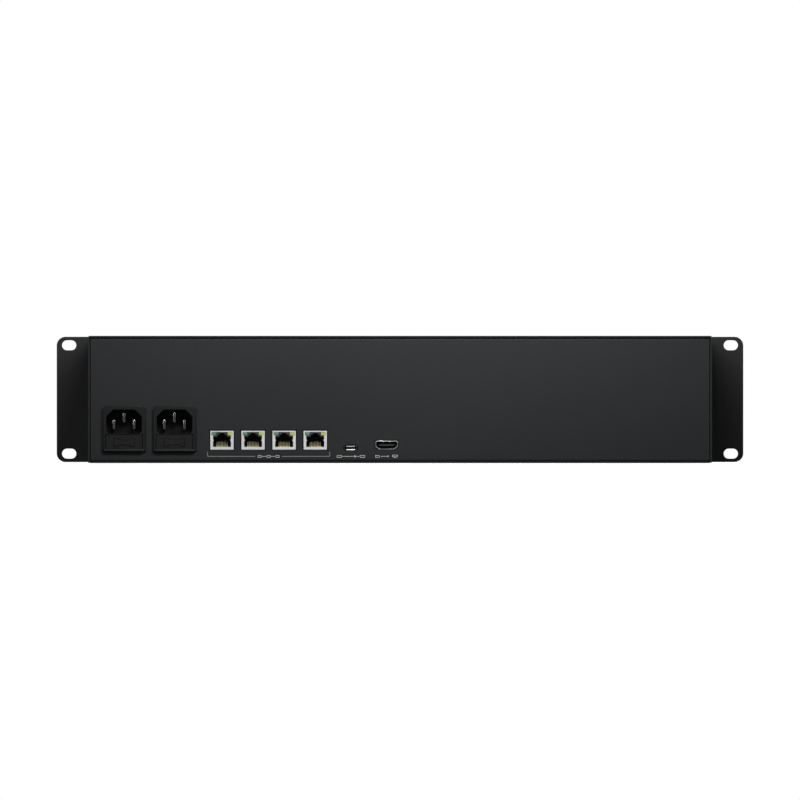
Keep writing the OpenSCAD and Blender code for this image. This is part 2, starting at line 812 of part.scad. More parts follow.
module psu_board(y0) {
    low = psu_z + psu_t + 4;
    top = low + 1.6;
    x0 = psu_x0 + psu_t + 0.5;
    color([0.55, 0.42, 0.20]) translate([x0, y0 + 1, 0]) {
        box([0, 0, low], [psu_w - 2 * psu_t - 1, psu_l - 2, top]);
        for (x = [4, psu_w - 8], y = [4, psu_l - 6])
            translate([x, y, psu_z + psu_t]) cylinder(r = 2.4, h = low - psu_z - psu_t + eps);
        box([14, 44, top - eps], [46, 78, top + 26]);
        translate([16, 26, top - eps]) cylinder(r = 11, h = 28);
        translate([42, 26, top - eps]) cylinder(r = 8, h = 22);
        for (i = [0:2]) translate([12 + i * 18, 102, top - eps]) cylinder(r = 6, h = 20);
        box([4, 84, top - eps], [56, 88, top + 28]);
        box([10, 1, top - eps], [34, 11, top + 10]);
        box([10, 110, top - eps], [44, 119, top + 9]);
    }
}

// ---------- wiring ----------

module mains_leads() {
    boot_y = pin_end_y + 0.5;
    low = psu_z + psu_t + 5.6;
    lead_r = 2.8;
    terminal = [psu_x0 + psu_t + 22.5, 0, low + 15];
    color([0.12, 0.12, 0.13]) for (i = [0, 1]) {
        difference() {
            box([inlet_xs[i] - 10, boot_y, 21], [inlet_xs[i] + 10, boot_y + 12, 37]);
            translate([inlet_xs[i], 0, 0]) at_pins()
                box([-0.6, boot_y - cut, -2.3], [0.6, pin_end_y + tab_l + 0.3, 2.3]);
        }
    }
    color([0.12, 0.12, 0.13]) {
        lead([[inlet_xs[1], boot_y + 11, 29], [inlet_xs[1], boot_y + 17, 29],
            [terminal.x, boot_y + 17, 29], [terminal.x, psu_y0s[0] + 6, 29],
            [terminal.x, psu_y0s[0] + 6, terminal.z - 3]], lead_r);
        lead([[inlet_xs[0], boot_y + 11, 29], [inlet_xs[0], boot_y + 18, 29],
            [psu_x0 - 5, boot_y + 18, 29], [psu_x0 - 5, psu_y0s[1] - 5, 29],
            [terminal.x, psu_y0s[1] - 5, 29], [terminal.x, psu_y0s[1] + 6, 29],
            [terminal.x, psu_y0s[1] + 6, terminal.z - 3]], lead_r);
    }
}

module dc_leads() {
    lead_r = 2.6;
    low = psu_z + psu_t + 5.6;
    out_x = psu_x0 + psu_t + 27.5;
    high = psu_z + psu_h + 8;
    color([0.70, 0.62, 0.15]) for (i = [0, 1]) {
        out_y = psu_y0s[i] + psu_l - 6.5;
        in_y = board_y0 + dc_socket_ys[i];
        lead([[out_x, out_y, low + 9.5], [out_x, out_y, high], [dc_socket_x, out_y, high],
            [dc_socket_x, in_y, high], [dc_socket_x, in_y, board_z + dc_socket_h]], lead_r);
    }
}

module panel_ribbon() {
    w = 20;
    t = 0.8;
    x = ribbon_x;
    back = board_y0 + board_l - 6;
    front = front_board_y - 3;
    run_z = 22;
    color([0.55, 0.56, 0.58]) {
        box([x - w / 2, back - t, board_z + ribbon_socket_h], [x + w / 2, back, run_z]);
        box([x - w / 2, back - t, run_z - eps], [x + w / 2, front, run_z + t]);
        box([x - w / 2, front - t, run_z], [124, front, run_z + w]);
        box([114, front - eps, run_z + 4], [124, front_board_y - 1.6, run_z + w - 4]);
    }
}

// ---------- fans ----------

module at_fan_holes() {
    for (sx = [-1, 1], sz = [-1, 1])
        translate([sx * fan_hole_half_pitch, 0, sz * fan_hole_half_pitch]) children();
}

module fan_frame(x) {
    plate_l = 4;
    color(black_plastic) translate([x, 0, fan_z]) {
        difference() {
            union() {
                for (y = [fan_y0, fan_y1 - plate_l]) along_y(y, y + plate_l)
                    centred_rounded([fan_size, fan_size], 4);
                along_y(fan_y0, fan_y1) circle(r = fan_bore_r + 1.6);
            }
            along_y(fan_y0 - cut, fan_y1 + cut) circle(r = fan_bore_r);
            at_fan_holes() translate([0, fan_y1 + cut, 0]) rotate([90, 0, 0])
                cylinder(r = m4_r + 0.2, h = fan_l + 2 * cut);
        }
        difference() {
            union() {
                along_y(fan_y0, fan_y0 + fan_hub_t) circle(r = fan_hub_r);
                for (turn = [45:90:315]) rotate([0, turn, 0])
                    box([fan_hub_r - 1, fan_y0, -2], [fan_bore_r + 0.5, fan_y0 + 3, 2]);
            }
            along_y(fan_y0 + 1, fan_y0 + fan_hub_t + cut) circle(r = fan_shaft_r + fit);
        }
    }
}

module fan_rotor(x) {
    blades = 7;
    hub_r = 16.5;
    hub_t = rotor_l - 1;
    tilt = 38;
    color([0.10, 0.10, 0.11]) translate([x, 0, fan_z]) {
        along_y(rotor_y0, rotor_y0 + hub_t) circle(r = hub_r);
        along_y(fan_y0 + 1.3, rotor_y0 + eps) circle(r = fan_shaft_r);
        intersection() {
            along_y(rotor_y0, rotor_y0 + rotor_l) difference() {
                circle(r = rotor_r);
                circle(r = hub_r - 1);
            }
            for (i = [0:blades - 1]) rotate([0, i * 360 / blades, 0])
                translate([hub_r - 1, rotor_y0 + rotor_l / 2, 0]) rotate([tilt, 0, 0])
                    translate([0, -15, -0.8]) cube([24, 30, 1.6]);
        }
    }
}

module fan_screws() {
    color(steel) for (x = fan_xs) translate([x, fan_y0, fan_z]) at_fan_holes() rotate([90, 0, 0]) {
        difference() {
            cylinder(r = 3.6, h = 2.4);
            for (turn = [0, 90]) rotate(turn) translate([0, 0, 2.2]) cube([4.4, 0.9, 1.4], center = true);
        }
        translate([0, 0, -fan_l - sheet_t]) cylinder(r = m4_r, h = fan_l + sheet_t + eps);
    }
}

// ---------- front controls ----------

// The stem behind a button: a collar that stops it and a plunger that enters the switch
module button_stem() {
    along_y(front_board_y + switch_l - press - 1, panel_back_y - 1) circle(r = plunger_r);
}

module power_button() {
    color(zinc) translate([power_x, 0, display_z]) {
        difference() {
            along_y(panel_back_y - running - eps, face_y + button_proud) circle(r = power_r);
            along_y(face_y + button_proud - 0.5, face_y + cut + button_proud) difference() {
                circle(r = power_r - 1.6);
                circle(r = power_r - 2.4);
            }
        }
        along_y(panel_back_y - running - 1.2, panel_back_y - running) circle(r = power_r + 1.4);
        button_stem();
    }
}

module menu_button(i) {
    color(black_plastic) translate([menu_x(i), 0, menu_z]) {
        along_y(panel_back_y - running - eps, face_y + button_proud) menu_shape(0);
        along_y(panel_back_y - running - 1.2, panel_back_y - running) menu_shape(1.2);
        button_stem();
    }
}

module display_module() {
    y1 = panel_back_y - 0.3;
    y0 = front_board_y;
    w = window_w - 2;
    h = window_h - 2;
    color([0.20, 0.21, 0.22]) translate([display_x, 0, display_z]) difference() {
        along_y(y0, y1) centred_rounded([w, h], 1);
        along_y(y1 - 0.8, y1 + cut) centred_rounded([w - 7, h - 7], 0.6);
    }
}

module display_window() {
    color([0.05, 0.06, 0.08]) translate([display_x, 0, display_z])
        along_y(face_y - window_t, face_y - 0.1) centred_rounded([window_w - 0.3, window_h - 0.3], 2.8);
}

module front_board() {
    low = 12;
    top = panel_h - 12;
    color(board_green) difference() {
        union() {
            box([control_x0 + 3, front_board_y - 1.6, low], [control_x1 - 1, front_board_y, top]);
            for (i = [0:menu_count - 1]) translate([menu_x(i), 0, menu_z])
                along_y(front_board_y - eps, front_board_y + switch_l) square(switch_w, center = true);
            translate([power_x, 0, display_z])
                along_y(front_board_y - eps, front_board_y + switch_l) square(switch_w, center = true);
            for (x = [control_x0 + 6, control_x1 - 4], z = [low + 3, top - 3]) translate([x, 0, z])
                along_y(front_board_y - eps, panel_back_y) circle(r = 2.2);
        }
        for (i = [0:menu_count - 1]) translate([menu_x(i), 0, menu_z]) switch_bore();
        translate([power_x, 0, display_z]) switch_bore();
    }
}

module switch_bore() {
    along_y(front_board_y + 1, front_board_y + switch_l + cut) circle(r = plunger_r + fit);
}

front_panel();
intake_grille();
front_frame();
base_tray();
rear_panel();
wrap_cover();
chassis_screws();
panel_screws();
inlet_housing(inlet_xs[0]);  // inlet_housing_1
inlet_housing(inlet_xs[1]);  // inlet_housing_2
inlet_pins(inlet_xs[0]);  // inlet_pins_1
inlet_pins(inlet_xs[1]);  // inlet_pins_2
fuse_drawer(inlet_xs[0]);  // fuse_drawer_1
fuse_drawer(inlet_xs[1]);  // fuse_drawer_2
fuses(inlet_xs[0]);  // fuses_1
fuses(inlet_xs[1]);  // fuses_2
jack_shield(jack_xs[0]);  // jack_shield_1
jack_shield(jack_xs[1]);  // jack_shield_2
jack_shield(jack_xs[2]);  // jack_shield_3
jack_shield(jack_xs[3]);  // jack_shield_4
jack_insert(jack_xs[0]);  // jack_insert_1
jack_insert(jack_xs[1]);  // jack_insert_2
jack_insert(jack_xs[2]);  // jack_insert_3
jack_insert(jack_xs[3]);  // jack_insert_4
jack_contacts(jack_xs[0]);  // jack_contacts_1
jack_contacts(jack_xs[1]);  // jack_contacts_2
jack_contacts(jack_xs[2]);  // jack_contacts_3
jack_contacts(jack_xs[3]);  // jack_contacts_4
link_lenses();
activity_lenses();
usb_shell();
usb_tongue();
hdmi_shell();
hdmi_tongue();
main_board();
board_standoffs();
board_screws();
processor();
heat_sink();
memory_modules();
switch_heat_sink();
psu_case(psu_y0s[0]);  // psu_case_1
psu_case(psu_y0s[1]);  // psu_case_2
psu_board(psu_y0s[0]);  // psu_board_1
psu_board(psu_y0s[1]);  // psu_board_2
mains_leads();
dc_leads();
panel_ribbon();
fan_frame(fan_xs[0]);  // fan_frame_1
fan_frame(fan_xs[1]);  // fan_frame_2
fan_rotor(fan_xs[0]);  // fan_rotor_1
fan_rotor(fan_xs[1]);  // fan_rotor_2
fan_screws();
power_button();
menu_button(0);  // menu_button_1
menu_button(1);  // menu_button_2
menu_button(2);  // menu_button_3
display_module();
display_window();
front_board();
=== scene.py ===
"""Looks of the two-unit rack appliance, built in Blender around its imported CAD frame.

Metres, +Z up. The connectors face -Y and the front panel's controls face +Y.
"""

import json
import math

import bmesh
import bpy
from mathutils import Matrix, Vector


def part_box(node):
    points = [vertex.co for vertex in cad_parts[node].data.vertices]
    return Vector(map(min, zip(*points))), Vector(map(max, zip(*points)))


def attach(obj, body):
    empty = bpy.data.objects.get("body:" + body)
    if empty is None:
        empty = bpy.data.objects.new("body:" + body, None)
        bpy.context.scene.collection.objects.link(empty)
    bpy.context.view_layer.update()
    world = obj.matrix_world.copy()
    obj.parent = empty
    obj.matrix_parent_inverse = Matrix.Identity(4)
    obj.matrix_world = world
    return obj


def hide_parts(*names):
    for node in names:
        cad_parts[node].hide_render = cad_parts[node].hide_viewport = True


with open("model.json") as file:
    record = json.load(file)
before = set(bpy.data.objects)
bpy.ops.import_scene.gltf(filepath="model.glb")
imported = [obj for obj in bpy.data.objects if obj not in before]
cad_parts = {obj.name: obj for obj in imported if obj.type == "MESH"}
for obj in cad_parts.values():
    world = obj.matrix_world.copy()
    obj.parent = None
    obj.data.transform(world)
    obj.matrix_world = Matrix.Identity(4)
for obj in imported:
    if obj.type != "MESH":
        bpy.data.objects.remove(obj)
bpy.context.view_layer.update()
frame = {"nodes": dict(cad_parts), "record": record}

MM = 0.001
X, Y, Z = range(3)
NODES = frame["nodes"]
RECORD = frame["record"]
BODY_OF = {n: body for body, members in RECORD["behaviour"]["bodies"].items() for n in members}
SLOT_OF = {part["node"]: part["material_slot"] for part in RECORD["subparts"]}


# ---------- camera, floor and light ----------

# How wide the picture is at the object, in metres.
VIEW_WIDTH = 0.5582
# The lens and the width of its sensor, in millimetres.
LENS = 1700.0
SENSOR = 36.0
# Height of the camera, which looks level.
CAMERA_HEIGHT = 0.04365
# Half the floor's side, and how far it lies below the object, so that their faces don't share a plane.
FLOOR_HALF = 1.6
FLOOR_DROP = 0.0004
# Strength of the floor's own glow, and of the sky overhead, level with the object and below.
FLOOR_GLOW = 0.72
SKY_ABOVE = 0.60
SKY_LEVEL = 0.065
SKY_BELOW = 0.035


def add_camera():
    """A very long lens, because the view is square on with almost no perspective."""
    data = bpy.data.cameras.new("camera")
    data.lens = LENS
    data.sensor_width = SENSOR
    distance = VIEW_WIDTH * LENS / SENSOR
    data.clip_start = 1.0
    data.clip_end = distance * 4
    camera = bpy.data.objects.new("camera", data)
    camera.location = (0, -distance, CAMERA_HEIGHT)
    camera.rotation_euler = (math.radians(90), 0, 0)
    bpy.context.scene.collection.objects.link(camera)
    bpy.context.scene.camera = camera


def add_floor():
    """A pale floor that shows shadows and looks evenly lit.

    It sends no light back, so the object's underside stays as dark as it should be.
    """
    mesh = bpy.data.meshes.new("floor")
    bm = bmesh.new()
    corners = ((-1, -1), (1, -1), (1, 1), (-1, 1))
    bm.faces.new([bm.verts.new((x * FLOOR_HALF, y * FLOOR_HALF, -FLOOR_DROP)) for x, y in corners])
    bm.to_mesh(mesh)
    bm.free()
    floor = bpy.data.objects.new("floor", mesh)
    floor.visible_diffuse = False
    floor.visible_glossy = False
    bpy.context.scene.collection.objects.link(floor)
    look = bpy.data.materials.new("floor")
    look.use_nodes = True
    shader = look.node_tree.nodes["Principled BSDF"]
    shader.inputs["Base Color"].default_value = (0.5, 0.5, 0.5, 1)
    shader.inputs["Roughness"].default_value = 0.9
    shader.inputs["Emission Color"].default_value = (1, 1, 1, 1)
    shader.inputs["Emission Strength"].default_value = FLOOR_GLOW
    mesh.materials.append(look)


def add_area_light(name, place, aim, size, power):
    """A rectangular light at place that faces aim and stays out of the picture."""
    data = bpy.data.lights.new(name, "AREA")
    data.shape = "RECTANGLE"
    data.size, data.size_y = size
    data.energy = power
    light = bpy.data.objects.new(name, data)
    light.location = place
    light.rotation_euler = (Vector(aim) - Vector(place)).to_track_quat("-Z", "Y").to_euler()
    light.visible_camera = False
    bpy.context.scene.collection.objects.link(light)


def add_world():
    """White to the camera. To the object it is a dim studio, bright overhead and dark low down."""
    world = bpy.data.worlds.new("studio")
    world.use_nodes = True
    tree = world.node_tree
    tree.nodes.clear()
    coords = tree.nodes.new("ShaderNodeTexCoord")
    split = tree.nodes.new("ShaderNodeSeparateXYZ")
    height = tree.nodes.new("ShaderNodeMapRange")
    height.inputs["From Min"].default_value = -1.0
    ramp = tree.nodes.new("ShaderNodeValToRGB")
    ramp.color_ramp.elements[0].color = (*[SKY_BELOW] * 3, 1)
    ramp.color_ramp.elements[1].color = (*[SKY_ABOVE] * 3, 1)
    horizon = ramp.color_ramp.elements.new(0.5)
    horizon.color = (*[SKY_LEVEL] * 3, 1)
    tree.links.new(coords.outputs["Generated"], split.inputs[0])
    tree.links.new(split.outputs["Z"], height.inputs["Value"])
    tree.links.new(height.outputs[0], ramp.inputs[0])
    sky = tree.nodes.new("ShaderNodeBackground")
    tree.links.new(ramp.outputs[0], sky.inputs["Color"])
    plain = tree.nodes.new("ShaderNodeBackground")
    plain.inputs["Color"].default_value = (1, 1, 1, 1)
    rays = tree.nodes.new("ShaderNodeLightPath")
    mix = tree.nodes.new("ShaderNodeMixShader")
    out = tree.nodes.new("ShaderNodeOutputWorld")
    tree.links.new(rays.outputs["Is Camera Ray"], mix.inputs[0])
    tree.links.new(sky.outputs[0], mix.inputs[1])
    tree.links.new(plain.outputs[0], mix.inputs[2])
    tree.links.new(mix.outputs[0], out.inputs[0])
    bpy.context.scene.world = world


def add_lights():
    add_area_light("key", (0.02, -0.62, 0.32), (0, -0.19, 0.04), (0.34, 0.07), 2.4)
    add_area_light("left", (-1.9, -2.2, 0.7), (0, 0, 0.04), (1.2, 1.2), 13.8)
    add_area_light("fill", (1.9, -2.2, 0.7), (0, 0, 0.04), (1.2, 1.2), 3.5)
    add_area_light("front", (0.35, 0.75, 0.60), (0, 0.1, 0.03), (1.2, 0.2), 7.0)
    add_area_light("right", (1.9, 2.2, 0.7), (0, 0, 0.04), (1.6, 1.2), 30.0)


# ---------- materials ----------


class Look:
    """A procedural material: a Principled shader with grain and variation added to it."""

    def __init__(self, name, color, roughness, metallic=0.0, **sockets):
        self.material = bpy.data.materials.new(name)
        self.material.use_nodes = True
        self.tree = self.material.node_tree
        self.shader = self.tree.nodes["Principled BSDF"]
        self.color = color
        self.shader.inputs["Base Color"].default_value = (*color, 1)
        self.shader.inputs["Roughness"].default_value = roughness
        self.shader.inputs["Metallic"].default_value = metallic
        for socket, value in sockets.items():
            self.shader.inputs[socket.replace("_", " ")].default_value = value
        self.normal = None

    def node(self, kind, **inputs):
        node = self.tree.nodes.new(kind)
        for socket, value in inputs.items():
            node.inputs[socket.replace("_", " ")].default_value = value
        return node

    def link(self, output, socket):
        self.tree.links.new(output, socket)

    def place(self, stretch=(1, 1, 1)):
        """The piece's own coordinates in metres, stretched along its axes."""
        coords = self.node("ShaderNodeTexCoord")
        mapping = self.node("ShaderNodeMapping")
        mapping.inputs["Scale"].default_value = stretch
        self.link(coords.outputs["Object"], mapping.inputs["Vector"])
        return mapping.outputs[0]

    def noise(self, scale, detail=3.0, rough=0.55, stretch=(1, 1, 1)):
        noise = self.node("ShaderNodeTexNoise", Scale=scale, Detail=detail, Roughness=rough)
        self.link(self.place(stretch), noise.inputs["Vector"])
        return noise.outputs["Fac"]

    def speckle(self, scale, stretch=(1, 1, 1)):
        cells = self.node("ShaderNodeTexVoronoi", Scale=scale)
        self.link(self.place(stretch), cells.inputs["Vector"])
        return cells.outputs["Distance"]

    def tint(self, factor, dark, light, low=0.3, high=0.7):
        """The colour runs from dark to light times the base colour as factor goes from low to high."""
        ramp = self.node("ShaderNodeValToRGB")
        ramp.color_ramp.elements[0].position = low
        ramp.color_ramp.elements[1].position = high
        ramp.color_ramp.elements[0].color = (*(c * dark for c in self.color), 1)
        ramp.color_ramp.elements[1].color = (*(min(1, c * light) for c in self.color), 1)
        self.link(factor, ramp.inputs[0])
        self.link(ramp.outputs[0], self.shader.inputs["Base Color"])
        return self

    def shine(self, factor, low, high):
        """Roughness runs from low to high with factor."""
        ramp = self.node("ShaderNodeMapRange", From_Min=0.3, From_Max=0.7, To_Min=low, To_Max=high)
        self.link(factor, ramp.inputs["Value"])
        self.link(ramp.outputs[0], self.shader.inputs["Roughness"])
        return self

    def bump(self, factor, height, strength=1.0):
        """Relief of that height in metres, on top of any relief added before."""
        bump = self.node("ShaderNodeBump", Strength=strength, Distance=height)
        self.link(factor, bump.inputs["Height"])
        if self.normal:
            self.link(self.normal, bump.inputs["Normal"])
        self.normal = bump.outputs[0]
        self.link(self.normal, self.shader.inputs["Normal"])
        return self


def powder_coat():
    look = Look("powder_coat", (0.0121, 0.0134, 0.0146), 0.58, Specular_IOR_Level=0.25)
    look.tint(look.noise(9, 2), 0.94, 1.06)
    look.shine(look.noise(700, 2), 0.48, 0.62)
    return look.bump(look.noise(1500, 2), 0.00006, 0.55).bump(look.noise(420, 1), 0.00005, 0.25)


def satin_black():
    look = Look("satin_black", (0.0165, 0.0168, 0.0175), 0.42, Specular_IOR_Level=0.35)
    look.tint(look.noise(14, 2), 0.92, 1.08)
    look.shine(look.noise(900, 2), 0.38, 0.48)
    return look.bump(look.noise(2600, 2), 0.00003, 0.4)


def plated_sheet():
    look = Look("plated_sheet", (0.52, 0.54, 0.55), 0.38, 0.9)
    look.tint(look.speckle(160), 0.82, 1.08, 0.0, 0.8)
    look.shine(look.noise(90, 4), 0.30, 0.46)
    return look.bump(look.noise(700, 2), 0.00002, 0.4)


def tin_plate(name, level):
    look = Look(name, (level, level, level * 0.985), 0.42, 0.15)
    look.tint(look.noise(240, 3), 0.93, 1.05)
    look.shine(look.noise(500, 3), 0.34, 0.50)
    return look.bump(look.noise(1800, 3), 0.00001, 0.5)


def black_screw():
    look = Look("black_screw", (0.016, 0.016, 0.018), 0.32, 0.4)
    look.tint(look.noise(500, 3), 0.8, 1.3)
    return look.bump(look.noise(3000, 2), 0.00002, 0.5)


def nickel():
    look = Look("nickel", (0.60, 0.595, 0.58), 0.27, 1.0)
    look.tint(look.noise(260, 4), 0.93, 1.05)
    look.shine(look.noise(340, 3), 0.22, 0.34)
    return look.bump(look.noise(2200, 3, stretch=(1, 0.15, 1)), 0.00001, 0.5)


def black_plastic():
    look = Look("black_plastic", (0.0054, 0.0056, 0.0060), 0.46, Specular_IOR_Level=0.25)
    look.tint(look.noise(60, 2), 0.9, 1.12)
    look.shine(look.noise(800, 2), 0.40, 0.54)
    return look.bump(look.noise(3200, 2), 0.00004, 0.5)


def socket_plastic(name, level):
    look = Look(name, (level, level, level * 1.04), 0.5, Specular_IOR_Level=0.35)
    look.tint(look.noise(90, 2), 0.9, 1.12)
    look.shine(look.noise(900, 2), 0.44, 0.56)
    return look.bump(look.noise(3400, 2), 0.00003, 0.5)


# A darker copy of the powder coat for the base tray, with painted shade: it darkens the tray's rear edge
# below the rear panel, as if shade fell there.
def tray_painted_shade():
    look = Look("tray_painted_shade", (0.0070, 0.0074, 0.0078), 0.6, Specular_IOR_Level=0.2)
    look.tint(look.noise(9, 2), 0.94, 1.06)
    return look.bump(look.noise(1500, 2), 0.00006, 0.55)


def blade_metal():
    look = Look("blade_metal", (0.60, 0.595, 0.585), 0.1, 1.0)
    look.tint(look.noise(260, 4), 0.93, 1.05)
    look.shine(look.noise(340, 3), 0.08, 0.13)
    return look.bump(look.noise(2200, 3, stretch=(1, 0.15, 1)), 0.000006, 0.4)


def shell_steel(name, level):
    look = Look(name, (level, level, level * 0.98), 0.36, 0.4)
    look.tint(look.noise(300, 3), 0.92, 1.06)
    look.shine(look.noise(500, 3), 0.30, 0.42)
    return look.bump(look.noise(1800, 3), 0.00001, 0.5)


def fuse_glass():
    look = Look("fuse_glass", (0.9, 0.93, 0.93), 0.06, Transmission_Weight=1.0, IOR=1.5)
    look.tint(look.noise(120, 2), 0.97, 1.0)
    return look.bump(look.noise(300, 1), 0.00001, 0.2)


def gold_contact():
    look = Look("gold_contact", (0.37, 0.335, 0.185), 0.38, 0.4)
    look.tint(look.noise(600, 3), 0.9, 1.06)
    return look.shine(look.noise(900, 2), 0.28, 0.40)


def lens(name, color, glow):
    look = Look(name, color, 0.30, Subsurface_Weight=0.25, Coat_Weight=0.3)
    look.shader.inputs["Subsurface Radius"].default_value = (0.002, 0.002, 0.002)
    look.shader.inputs["Emission Color"].default_value = (*color, 1)
    look.shader.inputs["Emission Strength"].default_value = glow
    look.tint(look.noise(500, 2), 0.85, 1.15)
    return look.bump(look.noise(1800, 2), 0.00002, 0.4)


def circuit_board():
    look = Look("circuit_board", (0.012, 0.085, 0.05), 0.32, Coat_Weight=0.3)
    tracks = look.node("ShaderNodeTexBrick", Scale=160.0, Mortar_Size=0.03)
    tracks.inputs["Color1"].default_value = (0.010, 0.070, 0.040, 1)
    tracks.inputs["Color2"].default_value = (0.014, 0.095, 0.055, 1)
    tracks.inputs["Mortar"].default_value = (0.030, 0.150, 0.085, 1)
    look.link(look.place(), tracks.inputs["Vector"])
    look.link(tracks.outputs["Color"], look.shader.inputs["Base Color"])
    return look.bump(tracks.outputs["Fac"], 0.00003, 0.5)


def supply_board():
    look = Look("supply_board", (0.26, 0.17, 0.075), 0.5)
    look.tint(look.noise(140, 3), 0.75, 1.15)
    return look.bump(look.speckle(900), 0.00004, 0.4)


def bare_alloy():
    look = Look("bare_alloy", (0.60, 0.61, 0.63), 0.34, 1.0)
    look.tint(look.noise(300, 3, stretch=(1, 0.05, 1)), 0.88, 1.06)
    look.shine(look.noise(500, 2, stretch=(1, 0.05, 1)), 0.26, 0.42)
    return look.bump(look.noise(1500, 2, stretch=(1, 0.03, 1)), 0.00002, 0.5)


def sleeve(name, color):
    look = Look(name, color, 0.55)
    look.tint(look.noise(200, 2), 0.85, 1.15)
    return look.bump(look.speckle(1400), 0.00008, 0.6)


def ribbon():
    look = Look("ribbon", (0.40, 0.41, 0.43), 0.5)
    wires = look.node("ShaderNodeTexWave", Scale=125.0)
    wires.bands_direction = "X"
    look.link(look.place(), wires.inputs["Vector"])
    look.tint(wires.outputs["Fac"], 0.7, 1.05)
    return look.bump(wires.outputs["Fac"], 0.0003, 0.8)


def button_metal():
    look = Look("button_metal", (0.36, 0.37, 0.38), 0.28, 1.0)
    look.tint(look.noise(700, 3), 0.92, 1.06)
    return look.shine(look.noise(600, 3), 0.22, 0.36)


def button_plastic():
    look = Look("button_plastic", (0.020, 0.0205, 0.022), 0.5)
    look.tint(look.noise(80, 2), 0.9, 1.1)
    return look.bump(look.noise(2800, 2), 0.00004, 0.5)


def display_glass():
    look = Look("display_glass", (0.30, 0.32, 0.34), 0.04, Transmission_Weight=1.0, IOR=1.3)
    look.tint(look.noise(30, 2), 0.95, 1.05)
    return look.shine(look.noise(60, 3), 0.02, 0.05)


def ink(name, color):
    look = Look(name, color, 0.6)
    look.tint(look.noise(1600, 3), 0.86, 1.1)
    return look.bump(look.noise(3000, 2), 0.00001, 0.4)


# Near-black paint for the painted shadow round the fuse signs.
def painted_shadow_black():
    look = Look("painted_shadow_black", (0.002, 0.002, 0.002), 0.8, Specular_IOR_Level=0.1)
    look.tint(look.noise(800, 2), 0.8, 1.2)
    return look.bump(look.noise(3000, 2), 0.00001, 0.4)


def screen_glow():
    look = Look("screen_glow", (0.05, 0.30, 0.33), 0.4)
    look.shader.inputs["Emission Color"].default_value = (0.08, 0.55, 0.60, 1)
    look.shader.inputs["Emission Strength"].default_value = 1.2
    return look.tint(look.noise(900, 2), 0.85, 1.15)


LOOKS = {
    "powder_coat": powder_coat(),
    "satin_black": satin_black(),
    "plated_sheet": plated_sheet(),
    "black_screw": black_screw(),
    "nickel": nickel(),
    "black_plastic": black_plastic(),
    "fuse_glass": fuse_glass(),
    "gold_contact": gold_contact(),
    "green_lens": lens("green_lens", (0.095, 0.21, 0.15), 0.12),
    "yellow_lens": lens("yellow_lens", (0.35, 0.41, 0.125), 0.2),
    "circuit_board": circuit_board(),
    "supply_board": supply_board(),
    "bare_alloy": bare_alloy(),
    "black_lead": sleeve("black_lead", (0.014, 0.014, 0.015)),
    "yellow_lead": sleeve("yellow_lead", (0.50, 0.38, 0.04)),
    "ribbon": ribbon(),
    "button_metal": button_metal(),
    "button_plastic": button_plastic(),
    "display_glass": display_glass(),
    "tin_plate": tin_plate("tin_plate", 0.65),
    # A lighter copy of tin plate, with painted light, for the USB pads that lie inside their shell.
    "tin_painted_light": tin_plate("tin_painted_light", 0.92),
    "blade_metal": blade_metal(),
    "dull_steel": shell_steel("dull_steel", 0.28),
    "dark_steel": shell_steel("dark_steel", 0.07),
    "socket_plastic": socket_plastic("socket_plastic", 0.030),
    # A lighter copy of the socket plastic, with painted light, for the jack inserts that sit in shade
    # inside their mouths.
    "insert_plastic_painted_light": socket_plastic("insert_plastic_painted_light", 0.036),
    "tray_painted_shade": tray_painted_shade(),
    "print_ink": ink("print_ink", (0.36, 0.365, 0.37)),
    "line_ink": ink("line_ink", (0.15, 0.152, 0.155)),
    "painted_shadow_black": painted_shadow_black(),
    "screen_glow": screen_glow(),
}


def paint(obj, look):
    """Gives the object one look, in place of any it had."""
    obj.data.materials.clear()
    obj.data.materials.append(LOOKS[look].material)


# ---------- pieces ----------

# Least cosine at which a face counts as square to an axis, and most at which one is a wall along it.
SQUARE = 0.9995
WALL_LEAN = 0.3
# Keeps the rounding of a very sharp corner from reaching far inward.
MITRE = 0.35
# Vertices closer than this, in metres, are merged.
SAME_POINT = 2e-6


def make_piece(name, bm, body, slot, look=None, angle=30, keep=()):
    """Turns a bmesh into a painted piece that rides on its body.

    Its look has its slot's name unless another is given.
    """
    shade(bm, angle, {edge for edge in keep if edge.is_valid})
    mesh = bpy.data.meshes.new(name)
    bm.to_mesh(mesh)
    bm.free()
    obj = bpy.data.objects.new(name, mesh)
    bpy.context.scene.collection.objects.link(obj)
    paint(obj, look or slot)
    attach(obj, body)
    return obj


def add_piece(name, bm, body, slot, look=None, angle=30, keep=()):
    """Makes a piece from new faces, after turning them all outward."""
    bmesh.ops.recalc_face_normals(bm, faces=bm.faces)
    return make_piece(name, bm, body, slot, look, angle, keep)


def shade(bm, angle, keep):
    """Smooth shading that stays sharp at steep edges and at those in keep."""
    steep = math.radians(angle)
    for face in bm.faces:
        face.smooth = True
    for edge in bm.edges:
        edge.smooth = edge not in keep and len(edge.link_faces) == 2 and edge.calc_face_angle(0) < steep


def rim_chains(faces, axis):
    """The next vertex along each outer edge of the flat faces, and whether a wall goes away from it there.

    The second result holds the vertices where more than one outline starts.
    """
    flat = set(faces)
    after = {}
    crowded = set()
    for face in faces:
        for loop in face.loops:
            others = [f for f in loop.edge.link_faces if f not in flat]
            if not others or len(loop.edge.link_faces) != 2:
                continue
            start = loop.vert
            if start in after:
                crowded.add(start)
            wall = abs(others[0].normal[axis]) < WALL_LEAN and loop.edge.is_convex
            after[start] = (loop.link_loop_next.vert, wall)
    return after, crowded


